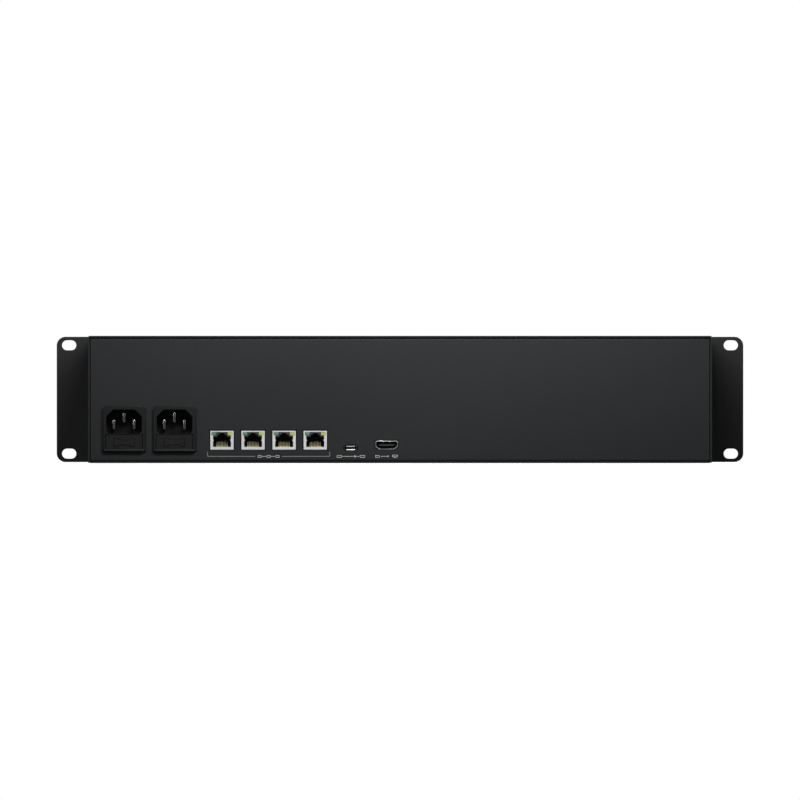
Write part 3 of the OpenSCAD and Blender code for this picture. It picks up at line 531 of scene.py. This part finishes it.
def rim_places(vert, last, following, out, width, segments):
    """Where the rounding passes one corner of an outline, from its wall up to its flat face."""
    first = out.cross(vert.co - last.co).normalized()
    second = out.cross(following.co - vert.co).normalized()
    inward = (first + second) / max(1 + first.dot(second), MITRE)
    places = []
    for k in range(1, segments + 1):
        turn = math.pi / 2 * k / segments
        across = inward * width * (1 - math.cos(turn))
        places.append(vert.co + across - out * width * (1 - math.sin(turn)))
    return places


def add_rim(bm, start, end, rows, segments):
    """Adds the rounding along one edge, and returns the vertices of its two borders."""
    low = [start] + rows.get(start, [start] * segments)
    high = [end] + rows.get(end, [end] * segments)
    for k in range(segments):
        ring = list(dict.fromkeys((high[k + 1], low[k + 1], low[k], high[k])))
        if len(ring) > 2 and not bm.faces.get(ring):
            bm.faces.new(ring)
    return [(low[0], high[0]), (low[-1], high[-1])]


def round_rims(bm, axis, width, segments):
    """Rounds the outer edges of every flat face square to the axis, and returns the new border edges."""
    borders = []
    for side in (-1, 1):
        bm.normal_update()
        faces = [f for f in bm.faces if f.normal[axis] * side > SQUARE]
        after, crowded = rim_chains(faces, axis)
        before = {end: start for start, (end, wall) in after.items() if wall}
        out = Vector((0, 0, 0))
        out[axis] = side
        places = {}
        for vert, (end, wall) in after.items():
            if wall and vert in before and vert not in crowded:
                places[vert] = rim_places(vert, before[vert], end, out, width, segments)
        if not places:
            continue
        # The flat faces are made again between the last vertices of the rows, and the old vertices go down
        # to where the rounding meets the wall.
        rows = {vert: [bm.verts.new(place) for place in row] for vert, row in places.items()}
        moved = [face for face in faces if any(v in rows for v in face.verts)]
        for face in moved:
            bm.faces.new([rows[v][-1] if v in rows else v for v in face.verts])
        for start, (end, wall) in after.items():
            if wall and (start in rows or end in rows):
                borders += add_rim(bm, start, end, rows, segments)
        bmesh.ops.delete(bm, geom=moved, context="FACES")
        for vert in rows:
            vert.co -= out * width
    edges = set()
    for one, other in borders:
        if one.is_valid and other.is_valid and one != other:
            edges.add(bm.edges.get((one, other)))
    return edges - {None}


def refine(node, width=0, axes=(Y,), segments=3, look=None, shape=None):
    """A CAD node's shape with the edges of its flat faces rounded, in place of the node.

    shape is a function that may change the mesh first, and look is a look other than its slot's.
    """
    bm = bmesh.new()
    bm.from_mesh(NODES[node].data)
    bmesh.ops.remove_doubles(bm, verts=bm.verts, dist=SAME_POINT)
    if shape:
        shape(bm)
    keep = set()
    if width:
        for axis in axes:
            keep |= round_rims(bm, axis, width, segments)
    obj = make_piece(f"{node}_finish", bm, BODY_OF[node], SLOT_OF[node], look, keep=keep)
    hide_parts(node)


def middle(node):
    """The middle of a node's box in X and Z."""
    low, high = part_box(node)
    return (low.x + high.x) / 2, (low.z + high.z) / 2


def prism(bm, outline, y0, y1):
    """Adds a closed prism whose outline lies in X and Z, from y0 to y1."""
    near = [bm.verts.new((x, y0, z)) for x, z in outline]
    far = [bm.verts.new((x, y1, z)) for x, z in outline]
    bm.faces.new(near)
    bm.faces.new(list(reversed(far)))
    count = len(outline)
    for i in range(count):
        j = (i + 1) % count
        bm.faces.new((near[i], far[i], far[j], near[j]))


def add_flat(name, outlines, span, slot, look=None):
    """One piece of the chassis made of prisms, all over the same span of Y."""
    bm = bmesh.new()
    for outline in outlines:
        prism(bm, outline, *span)
    add_piece(name, bm, "chassis", slot, look)


def bridge(bm, one, other):
    """Joins a ring of vertices to another by quads."""
    count = len(one)
    for k in range(count):
        j = (k + 1) % count
        bm.faces.new((one[k], one[j], other[j], other[k]))


def closed_tube(bm, rings):
    """Joins rings of vertices one after the other and closes both ends."""
    for one, other in zip(rings, rings[1:]):
        bridge(bm, one, other)
    bm.faces.new(rings[0])
    bm.faces.new(list(reversed(rings[-1])))


def spin(bm, profile, centre, axis, count):
    """Turns a profile of (distance along the axis, radius) points about the axis through centre."""
    rings = []
    for along, r in profile:
        ring = []
        for k in range(count):
            turn = 2 * math.pi * k / count
            out = r * math.cos(turn)
            place = [centre[0] + out, centre[1] + out, centre[2] + r * math.sin(turn)]
            place[axis] = centre[axis] + along
            ring.append(bm.verts.new(place))
        rings.append(ring)
    closed_tube(bm, rings)


def rect(x, z, w, h):
    """An upright rectangle round the point x, z."""
    left, right = x - w / 2, x + w / 2
    low, high = z - h / 2, z + h / 2
    return [(left, low), (right, low), (right, high), (left, high)]


def disc(x, z, r, count=20):
    """A circle of count sides round the point x, z."""
    turns = [2 * math.pi * i / count for i in range(count)]
    return [(x + r * math.cos(t), z + r * math.sin(t)) for t in turns]


def arc_band(x, z, r0, r1, start, end, count=24):
    """A part of a ring between the radii r0 and r1, from start to end in degrees."""
    turns = [math.radians(start + (end - start) * i / count) for i in range(count + 1)]
    outer = [(x + r1 * math.cos(t), z + r1 * math.sin(t)) for t in turns]
    inner = [(x + r0 * math.cos(t), z + r0 * math.sin(t)) for t in reversed(turns)]
    return outer + inner


def slot_outline(x, z, w, h, count=10):
    """An upright slot: two half circles joined by straight sides."""
    r = w / 2
    outline = []
    for start, end in ((0, 1), (180, -1)):
        for k in range(count + 1):
            turn = math.radians(start + 180 * k / count)
            outline.append((x + r * math.cos(turn), z + end * (h / 2 - r) + r * math.sin(turn)))
    return outline


def arrow(x, z, way):
    """A triangle that points up where way is 1 and down where it is -1."""
    base = z - way * 0.8 * MM
    return [(x - way * 1.3 * MM, base), (x + way * 1.3 * MM, base), (x, z + way * MM)]


def frame_bars(x, z, w, h, t):
    """The four bars of a rectangle's outline."""
    return [
        rect(x, z + (h - t) / 2, w, t),
        rect(x, z - (h - t) / 2, w, t),
        rect(x - (w - t) / 2, z, t, h - 2 * t),
        rect(x + (w - t) / 2, z, t, h - 2 * t),
    ]


# ---------- enclosure ----------


def enclosure():
    refine("front_panel", 0.45 * MM)
    refine("wrap_cover", 0.2 * MM, axes=(Y, X))
    refine("rear_panel", 0.2 * MM)
    # The tray's darker coat is painted shade along the rear panel's lower edge.
    refine("base_tray", 0.2 * MM, look="tray_painted_shade")
    refine("intake_grille", 0.15 * MM)
    refine("front_frame", look="satin_black")
    refine("chassis_screws", 0.1 * MM, axes=(Z, X), segments=2)
    refine("panel_screws", 0.12 * MM, segments=2)


# ---------- printed signs ----------

# The ink's thickness, the bracket's line, and the strokes and height of the signs.
INK = 0.03 * MM
LINE = 0.55 * MM
STROKE = 0.4 * MM
SIGN_H = 1.7 * MM
# How far the signs stand below the jacks, and the menu and power signs below their buttons.
SIGN_DROP = 4.7 * MM
MENU_DROP = 3.2 * MM
POWER_DROP = 5.5 * MM
# How far the bracket reaches past the jacks, half the gap at its middle, and its upturned ends.
BRACKET_OUT = 2.0 * MM
BRACKET_GAP = 9.3 * MM
BRACKET_END_H = 2.9 * MM
BRACKET_END_UP = 1.7 * MM


def rear_print():
    """The bracket under the jacks and one plain sign for each kind of socket."""
    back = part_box("rear_panel")[0].y
    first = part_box("jack_shield_1")[0]
    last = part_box("jack_shield_4")[1]
    x = (first.x + last.x) / 2
    z = first.z - SIGN_DROP
    left = first.x - BRACKET_OUT
    right = last.x + BRACKET_OUT
    bracket = []
    for x0, x1 in ((left, x - BRACKET_GAP), (x + BRACKET_GAP, right)):
        bracket.append(rect((x0 + x1) / 2, z, x1 - x0, LINE))
    for end in (left, right):
        bracket.append(rect(end, z + BRACKET_END_UP, LINE, BRACKET_END_H))
    usb_x = middle("usb_shell")[0]
    hdmi_x = middle("hdmi_shell")[0]
    span = (back - INK, back)
    add_flat("print_bracket", bracket, span, "powder_coat", "line_ink")
    add_flat("print_network", network_sign(x, z), span, "powder_coat", "print_ink")
    add_flat("print_usb", cable_sign(usb_x, z), span, "powder_coat", "print_ink")
    add_flat("print_monitor", monitor_sign(hdmi_x, z), span, "powder_coat", "print_ink")


def network_sign(x, z):
    """Three linked stations on one line."""
    pitch = 6.2 * MM
    shapes = []
    for step in (-1, 0, 1):
        shapes += frame_bars(x + step * pitch, z, 2.6 * MM, SIGN_H, STROKE)
    for step in (-0.5, 0.5):
        shapes.append(rect(x + step * pitch, z, 3.0 * MM, STROKE))
    return shapes


def cable_sign(x, z):
    """Two boxes and the line between them, with a dot on it."""
    shapes = frame_bars(x - 7.9 * MM, z, 3.6 * MM, SIGN_H, STROKE)
    shapes.append(rect(x - 1.9 * MM, z, 7.6 * MM, STROKE))
    shapes.append(disc(x + 2.9 * MM, z, 0.75 * MM))
    shapes += frame_bars(x + 8.1 * MM, z, 3.6 * MM, SIGN_H, STROKE)
    shapes.append(rect(x + 4.9 * MM, z, 2.0 * MM, STROKE))
    return shapes


def monitor_sign(x, z):
    """A box, an arrow and a screen on its foot."""
    shapes = frame_bars(x - 6.4 * MM, z, 3.0 * MM, SIGN_H, STROKE)
    shapes.append(rect(x - 1.8 * MM, z, 4.6 * MM, STROKE))
    tip = x + 1.8 * MM
    shapes.append([(tip - 1.1 * MM, z - SIGN_H / 2), (tip, z), (tip - 1.1 * MM, z + SIGN_H / 2)])
    screen_x = x + 5.7 * MM
    shapes += frame_bars(screen_x, z + 0.3 * MM, 3.8 * MM, 1.6 * MM, STROKE)
    shapes.append(rect(screen_x, z - 0.85 * MM, 2.0 * MM, 0.35 * MM))
    return shapes


def power_sign(x, z):
    """A ring that is open at its top, and a bar in the opening."""
    return [arc_band(x, z, 1.7 * MM, 2.2 * MM, 120, 420), rect(x, z + 1.5 * MM, 0.5 * MM, 2.4 * MM)]


def front_print():
    """The signs of the power and menu buttons on the front panel."""
    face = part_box("front_panel")[1].y
    shapes = power_sign(middle("power_button")[0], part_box("power_button")[0].z - POWER_DROP)
    for i, way in ((1, -1), (2, 0), (3, 1)):
        x = middle(f"menu_button_{i}")[0]
        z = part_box(f"menu_button_{i}")[0].z - MENU_DROP
        shapes.append(arrow(x, z, way) if way else arc_band(x, z, 0.7 * MM, 1.15 * MM, 0, 359.9))
    add_flat("print_front", shapes, (face, face + INK), "satin_black", "print_ink")


# ---------- connectors ----------

# The drawers' finger lips.
LIP_W = 27.6 * MM
LIP_H = 1.7 * MM
LIP_OUT = 1.2 * MM
# The inlets' contact blades, and the solder tabs behind them.
BLADE_W = 1.92 * MM
BLADE_H = 7 * MM
BLADE_STEP = 7 * MM
TAB_W = 0.8 * MM
TAB_H = 4 * MM
TAB_LENGTH = 8 * MM
TAB_ROOT = 0.5 * MM
# The jacks' numbers, and their contact springs.
JACKS = (1, 2, 3, 4)
SPRINGS = 8
SPRING_PITCH = 1.02 * MM
SPRING_HALF_W = 0.3 * MM
SPRING_THICK = 0.11 * MM
# The frames round the jacks: how deep they start behind the rear panel's face, and their bars.
GASKET_DEEP = 1.22 * MM
GASKET_BAND = 1.5 * MM
GASKET_PLAY = 0.03 * MM
GASKET_THICK = 0.58 * MM


def connectors():
    for i in (1, 2):
        refine(f"inlet_housing_{i}", 0.3 * MM)
        refine(f"fuse_drawer_{i}", 0.2 * MM, shape=drop_lip)
        finger_lip(i)
        # Each drawer gets a painted shadow round its fuse sign.
        sign_painted_shadow(i)
        contact_blades(i)
        cartridge_fuses(i)
    for i in JACKS:
        refine(f"jack_shield_{i}", 0.1 * MM, look="tin_plate")
        # The inserts' plastic is painted lighter to make up for the shade inside the jacks.
        refine(f"jack_insert_{i}", 0.08 * MM, look="insert_plastic_painted_light")
        contact_springs(i)
    jack_gaskets()
    refine("link_lenses", 0.25 * MM)
    refine("activity_lenses", 0.25 * MM)
    refine("usb_shell", 0.07 * MM, look="dark_steel")
    refine("usb_tongue", 0.08 * MM)
    usb_pads()
    refine("hdmi_shell", 0.1 * MM, look="dull_steel", shape=lean_top)
    refine("hdmi_tongue", 0.1 * MM, look="socket_plastic")


def drop_lip(bm):
    """Pushes the drawer's finger lip back into its face, because a wider one is made for it."""
    front = min(v.co.y for v in bm.verts)
    for vert in bm.verts:
        if vert.co.y < front + 0.1 * MM:
            vert.co.y += LIP_OUT + 0.05 * MM


def finger_lip(i):
    """The lip that pulls a drawer out, a little wider than the drawer and leaning back at its top."""
    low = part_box(f"fuse_drawer_{i}")[0]
    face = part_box(f"inlet_housing_{i}")[0].y
    x = middle(f"fuse_drawer_{i}")[0]
    z = low.z + LIP_H / 2
    bm = bmesh.new()
    prism(bm, rect(x, z, LIP_W, LIP_H), low.y, face - 0.02 * MM)
    keep = round_rims(bm, Y, 0.3 * MM, 4)
    for vert in bm.verts:
        if vert.co.y < face - 0.5 * MM and vert.co.z > z:
            vert.co.y += 0.12 * MM
    add_piece(f"finger_lip_{i}", bm, f"fuse_drawer_{i}", "black_plastic", keep=keep)


def sign_painted_shadow(i):
    """A painted shadow round the raised fuse sign of a drawer: a fine flat dark outline of a bar with a
    wider cap at each end.
    """
    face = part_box(f"inlet_housing_{i}")[0].y
    x = middle(f"inlet_housing_{i}")[0]
    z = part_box(f"fuse_drawer_{i}")[0].z + 6.1 * MM
    cap_x, cap_z = 7.0 * MM, 2.8 * MM
    bar_x, bar_z = 4.2 * MM, 1.6 * MM
    corners = ((cap_x, cap_z, 1), (bar_x, cap_z, -1), (bar_x, bar_z, -1))
    rings = []
    for step in (0, 0.32 * MM):
        quarter = [(px + k * step, pz + step) for px, pz, k in corners]
        upper = quarter + [(-px, pz) for px, pz in reversed(quarter)]
        rings.append(upper + [(px, -pz) for px, pz in reversed(upper)])
    inner, outer = rings
    bm = bmesh.new()
    for k in range(len(inner)):
        j = (k + 1) % len(inner)
        quad = (inner[k], inner[j], outer[j], outer[k])
        prism(bm, [(x + px, z + pz) for px, pz in quad], face - INK, face)
    bmesh.ops.remove_doubles(bm, verts=bm.verts, dist=SAME_POINT)
    add_piece(f"sign_painted_shadow_{i}", bm, f"fuse_drawer_{i}", "black_plastic", "painted_shadow_black")


def usb_pads():
    """The sprung shield pads inside the top and bottom of the USB shell, sloped at both ends."""
    low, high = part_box("usb_shell")
    x, z = middle("usb_shell")
    wall = (high.z - low.z) / 2 - 0.3 * MM
    crest = wall - 0.46 * MM
    half = 2.95 * MM
    outline = ((0.05, wall), (0.28, crest), (2.2, crest), (2.8, wall))
    bm = bmesh.new()
    for side in (-1, 1):
        ends = []
        for px in (x - half, x + half):
            ends.append([bm.verts.new((px, low.y + depth * MM, z + side * h)) for depth, h in outline])
        closed_tube(bm, ends)
    # The pads' tin is painted lighter than the shields' tin, as painted light.
    add_piece("usb_pads", bm, "chassis", "nickel", "tin_painted_light")


def lean_top(bm):
    """Leans the front rim of the HDMI shell back along its top edge."""
    front = min(v.co.y for v in bm.verts)
    top = max(v.co.z for v in bm.verts)
    near = 0.01 * MM
    for vert in bm.verts:
        if vert.co.y < front + near and vert.co.z > top - near:
            vert.co.y += 0.10 * MM


def contact_blades(i):
    """Three solid blades with round ends and round noses, each with its solder tab behind."""
    node = f"inlet_pins_{i}"
    low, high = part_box(node)
    x = middle(node)[0]
    tab_y = high.y - TAB_LENGTH
    side_z = low.z + BLADE_H / 2
    places = ((x - BLADE_STEP, side_z), (x, high.z - BLADE_H / 2), (x + BLADE_STEP, side_z))
    bm = bmesh.new()
    for px, pz in places:
        prism(bm, slot_outline(px, pz, BLADE_W, BLADE_H), low.y, tab_y)
    bmesh.ops.recalc_face_normals(bm, faces=bm.faces)
    keep = round_rims(bm, Y, 0.4 * MM, 5)
    for px, pz in places:
        prism(bm, rect(px, pz, TAB_W, TAB_H), tab_y - TAB_ROOT, high.y)
    obj = add_piece(f"contact_blades_{i}", bm, "chassis", "nickel", "blade_metal", 40, keep)
    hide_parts(node)


def contact_springs(i):
    """Eight flat gold springs that rise from the mouth's floor and turn down at their front tips."""
    node = f"jack_contacts_{i}"
    low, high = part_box(node)
    x = middle(node)[0]
    depth = high.y - low.y - 0.9 * MM
    rise = high.z - low.z - 0.7 * MM
    path = [(low.y + 0.15 * MM, low.z + 0.12 * MM), (low.y + 0.3 * MM, low.z + 0.5 * MM)]
    steps = 8
    for k in range(steps + 1):
        t = k / steps
        path.append((low.y + 0.75 * MM + depth * t, low.z + 0.6 * MM + rise * (1 - (1 - t) ** 2)))
    bm = bmesh.new()
    for n in range(SPRINGS):
        add_strip(bm, x + (n - (SPRINGS - 1) / 2) * SPRING_PITCH, SPRING_HALF_W, path, SPRING_THICK)
    obj = add_piece(f"contact_springs_{i}", bm, "chassis", "gold_contact", angle=35)
    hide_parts(node)


def add_strip(bm, x, half_w, path, thick):
    """A flat strip of one thickness along a path of (y, z) points."""
    corners = ((-half_w, 1), (half_w, 1), (half_w, -1), (-half_w, -1))
    rings = []
    for k, (y, z) in enumerate(path):
        y0, z0 = path[max(k - 1, 0)]
        y1, z1 = path[min(k + 1, len(path) - 1)]
        length = math.hypot(y1 - y0, z1 - z0)
        ny = -(z1 - z0) / length * thick / 2
        nz = (y1 - y0) / length * thick / 2
        rings.append([bm.verts.new((x + dx, y + side * ny, z + side * nz)) for dx, side in corners])
    closed_tube(bm, rings)


def jack_gaskets():
    """Thin dark frames at the rear panel's inner face that close the gap round each jack shield."""
    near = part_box("rear_panel")[0].y + GASKET_DEEP
    bars = []
    for i in JACKS:
        low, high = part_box(f"jack_shield_{i}")
        x, z = middle(f"jack_shield_{i}")
        width = high.x - low.x + 2 * GASKET_BAND
        height = high.z - low.z + 2 * GASKET_BAND
        bars += frame_bars(x, z, width, height, GASKET_BAND - GASKET_PLAY)
    add_flat("jack_gaskets", bars, (near, near + GASKET_THICK), "black_plastic")


# A fuse cap's outline: millimetres from the fuse's end, and the share of its radius.
CAP_EDGE = ((0, 0.86), (0.25, 0.97), (0.5, 1.0), (4.6, 1.0), (4.9, 0.97), (5, 0.94))


def cartridge_fuses(i):
    """Glass tubes with rolled metal caps and a thin wire inside each."""
    low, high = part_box(f"fuses_{i}")
    x, z = middle(f"fuses_{i}")
    r = (high.z - low.z) / 2
    half = (high.x - low.x) / 2
    tubes = bmesh.new()
    caps = bmesh.new()
    for y in (low.y + r, high.y - r):
        centre = (x, y, z)
        spin(tubes, [(-half + MM, r * 0.93), (half - MM, r * 0.93)], centre, X, 40)
        for side in (-1, 1):
            spin(caps, [(side * (half - d * MM), r * share) for d, share in CAP_EDGE], centre, X, 40)
        wire = half - 4 * MM
        spin(caps, [(-wire, 0.12 * MM), (wire, 0.12 * MM)], centre, X, 8)
    body = f"fuse_drawer_{i}"
    tube = add_piece(f"fuse_tubes_{i}", tubes, body, "fuse_glass", angle=40)
    add_piece(f"fuse_caps_{i}", caps, body, "nickel", angle=40)
    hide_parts(f"fuses_{i}")


# ---------- fans ----------

FAN_BLADES = 7
HUB_R = 16.5 * MM
BLADE_ROOT_R = HUB_R - 0.6 * MM
BLADE_TIP_R = 36.4 * MM
# The rubber rings round the fans' mouths.
RING_R = 37.9 * MM
RING_BORE_R = 36.5 * MM
RING_THICK = 1.0 * MM
RING_SIDES = 96


def fans():
    for i in (1, 2):
        refine(f"fan_frame_{i}", 0.4 * MM)
        fan_rotor(i)
        fan_gasket(i)
    refine("fan_screws", 0.2 * MM)


def fan_gasket(i):
    """The rubber ring that closes the front frame's bore round a fan's mouth."""
    x, z = middle(f"fan_frame_{i}")
    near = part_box(f"fan_frame_{i}")[1].y + 0.1 * MM
    far = near + RING_THICK
    outer = disc(x, z, RING_R, RING_SIDES)
    inner = disc(x, z, RING_BORE_R, RING_SIDES)
    bm = bmesh.new()
    rings = []
    for circle, y in ((outer, near), (outer, far), (inner, far), (inner, near)):
        rings.append([bm.verts.new((px, y, pz)) for px, pz in circle])
    for k in range(4):
        bridge(bm, rings[k], rings[(k + 1) % 4])
    add_piece(f"fan_gasket_{i}", bm, "chassis", "black_plastic")


def fan_rotor(i):
    """A hub cup with a rounded nose and seven swept, twisted blades, in the CAD rotor's space."""
    node = f"fan_rotor_{i}"
    low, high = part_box(node)
    axis = middle(f"fan_frame_{i}")
    nose = high.y - MM
    tail = low.y + 3.3 * MM
    shaft_r = 1.5 * MM
    dish_r = HUB_R - 7.6 * MM
    dish_y = nose - 0.4 * MM
    profile = [
        (low.y, shaft_r),
        (tail, shaft_r),
        (tail, HUB_R),
        (nose - 2 * MM, HUB_R),
        (nose - 0.6 * MM, HUB_R - 0.5 * MM),
        (nose, HUB_R - 2.0 * MM),
        (nose, HUB_R - 7 * MM),
        (dish_y, dish_r),
        (dish_y, 0.4 * MM),
    ]
    bm = bmesh.new()
    spin(bm, profile, (axis[0], 0, axis[1]), Y, 64)
    for blade in range(FAN_BLADES):
        add_blade(bm, axis, (tail, nose), 2 * math.pi * blade / FAN_BLADES)
    obj = add_piece(f"fan_wheel_{i}", bm, node, "black_plastic", angle=35)
    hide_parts(node)


def blade_place(axis, ends, turn, u, v, side):
    """A point on one side of a blade, u of the way from root to tip and v across it from -0.5 to 0.5."""
    x, z = axis
    tail, nose = ends
    r = BLADE_ROOT_R + (BLADE_TIP_R - BLADE_ROOT_R) * u
    pitch = math.radians(52 - 20 * u)
    chord = (19 + 7 * u) * MM
    camber = 1.6 * MM * (1 - 4 * v * v)
    swell = 0.65 * MM * (1 - 3.2 * v * v)
    y = (tail + nose) / 2 + v * chord * math.sin(pitch) + camber + side * swell
    y = min(max(y, tail + 0.2 * MM), nose - 0.2 * MM)
    t = turn + 0.30 * u * u + v * chord * math.cos(pitch) / r
    return x + r * math.cos(t), y, z + r * math.sin(t)


def add_blade(bm, axis, ends, turn):
    """One blade: a closed curved plate, thickest at the middle of its width.

    axis is the fan's X and Z, and ends are the Y between which the blade lies.
    """
    across = 9
    along = 11
    sides = []
    for side in (1, -1):
        grid = []
        for a in range(across):
            u = a / (across - 1)
            steps = [b / (along - 1) - 0.5 for b in range(along)]
            grid.append([bm.verts.new(blade_place(axis, ends, turn, u, v, side)) for v in steps])
        sides.append(grid)
    for grid in sides:
        for a in range(across - 1):
            for b in range(along - 1):
                bm.faces.new((grid[a][b], grid[a][b + 1], grid[a + 1][b + 1], grid[a + 1][b]))
    top, under = sides
    for a in range(across - 1):
        for b in (0, along - 1):
            bm.faces.new((top[a][b], top[a + 1][b], under[a + 1][b], under[a][b]))
    for b in range(along - 1):
        for a in (0, across - 1):
            bm.faces.new((top[a][b], top[a][b + 1], under[a][b + 1], under[a][b]))


# ---------- front controls ----------


def controls():
    refine("power_button", 0.45 * MM)
    for i in (1, 2, 3):
        refine(f"menu_button_{i}", 0.5 * MM)
    refine("display_window", 0.3 * MM)
    refine("display_module", 0.2 * MM, look="black_plastic")
    screen()


# The chart's bars, as shares of the tallest.
CHART = (0.35, 0.6, 0.45, 0.8, 1.0, 0.7, 0.9, 0.5)
CHART_H = 15 * MM


def screen():
    """A plain bar chart glowing on the display, with a line and three dots under it."""
    low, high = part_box("display_module")
    y = high.y - 0.8 * MM
    x0 = low.x + 8 * MM
    x1 = high.x - 8 * MM
    z0 = low.z + 10 * MM
    step = (x1 - x0) / len(CHART)
    shapes = []
    for k, share in enumerate(CHART):
        tall = CHART_H * share
        shapes.append(rect(x0 + (k + 0.5) * step, z0 + tall / 2, step * 0.55, tall))
    shapes.append(rect((x0 + x1) / 2, z0 - 1.5 * MM, x1 - x0, 0.5 * MM))
    for k in range(3):
        shapes.append(disc(x0 + (2 * k + 1) * 1.6 * MM, z0 - 4.5 * MM, 0.8 * MM))
    add_flat("screen_chart", shapes, (y, y + 0.05 * MM), "display_glass", "screen_glow")


# ---------- inside ----------


def inside():
    """The inner pieces. Most have the edges of their level faces softened."""
    for name in ("heat_sink", "switch_heat_sink", "psu_case_1", "psu_case_2", "processor"):
        refine(name, 0.15 * MM, axes=(Z,), segments=2)
    for name in ("psu_board_1", "psu_board_2", "main_board", "memory_modules", "board_screws"):
        refine(name, 0.2 * MM, axes=(Z,), segments=2)
    for name in ("front_board", "panel_ribbon", "mains_leads", "dc_leads", "board_standoffs"):
        refine(name)


add_camera()
add_floor()
add_world()
add_lights()
bpy.context.scene.view_settings.view_transform = "Standard"
enclosure()
rear_print()
front_print()
connectors()
fans()
controls()
inside()
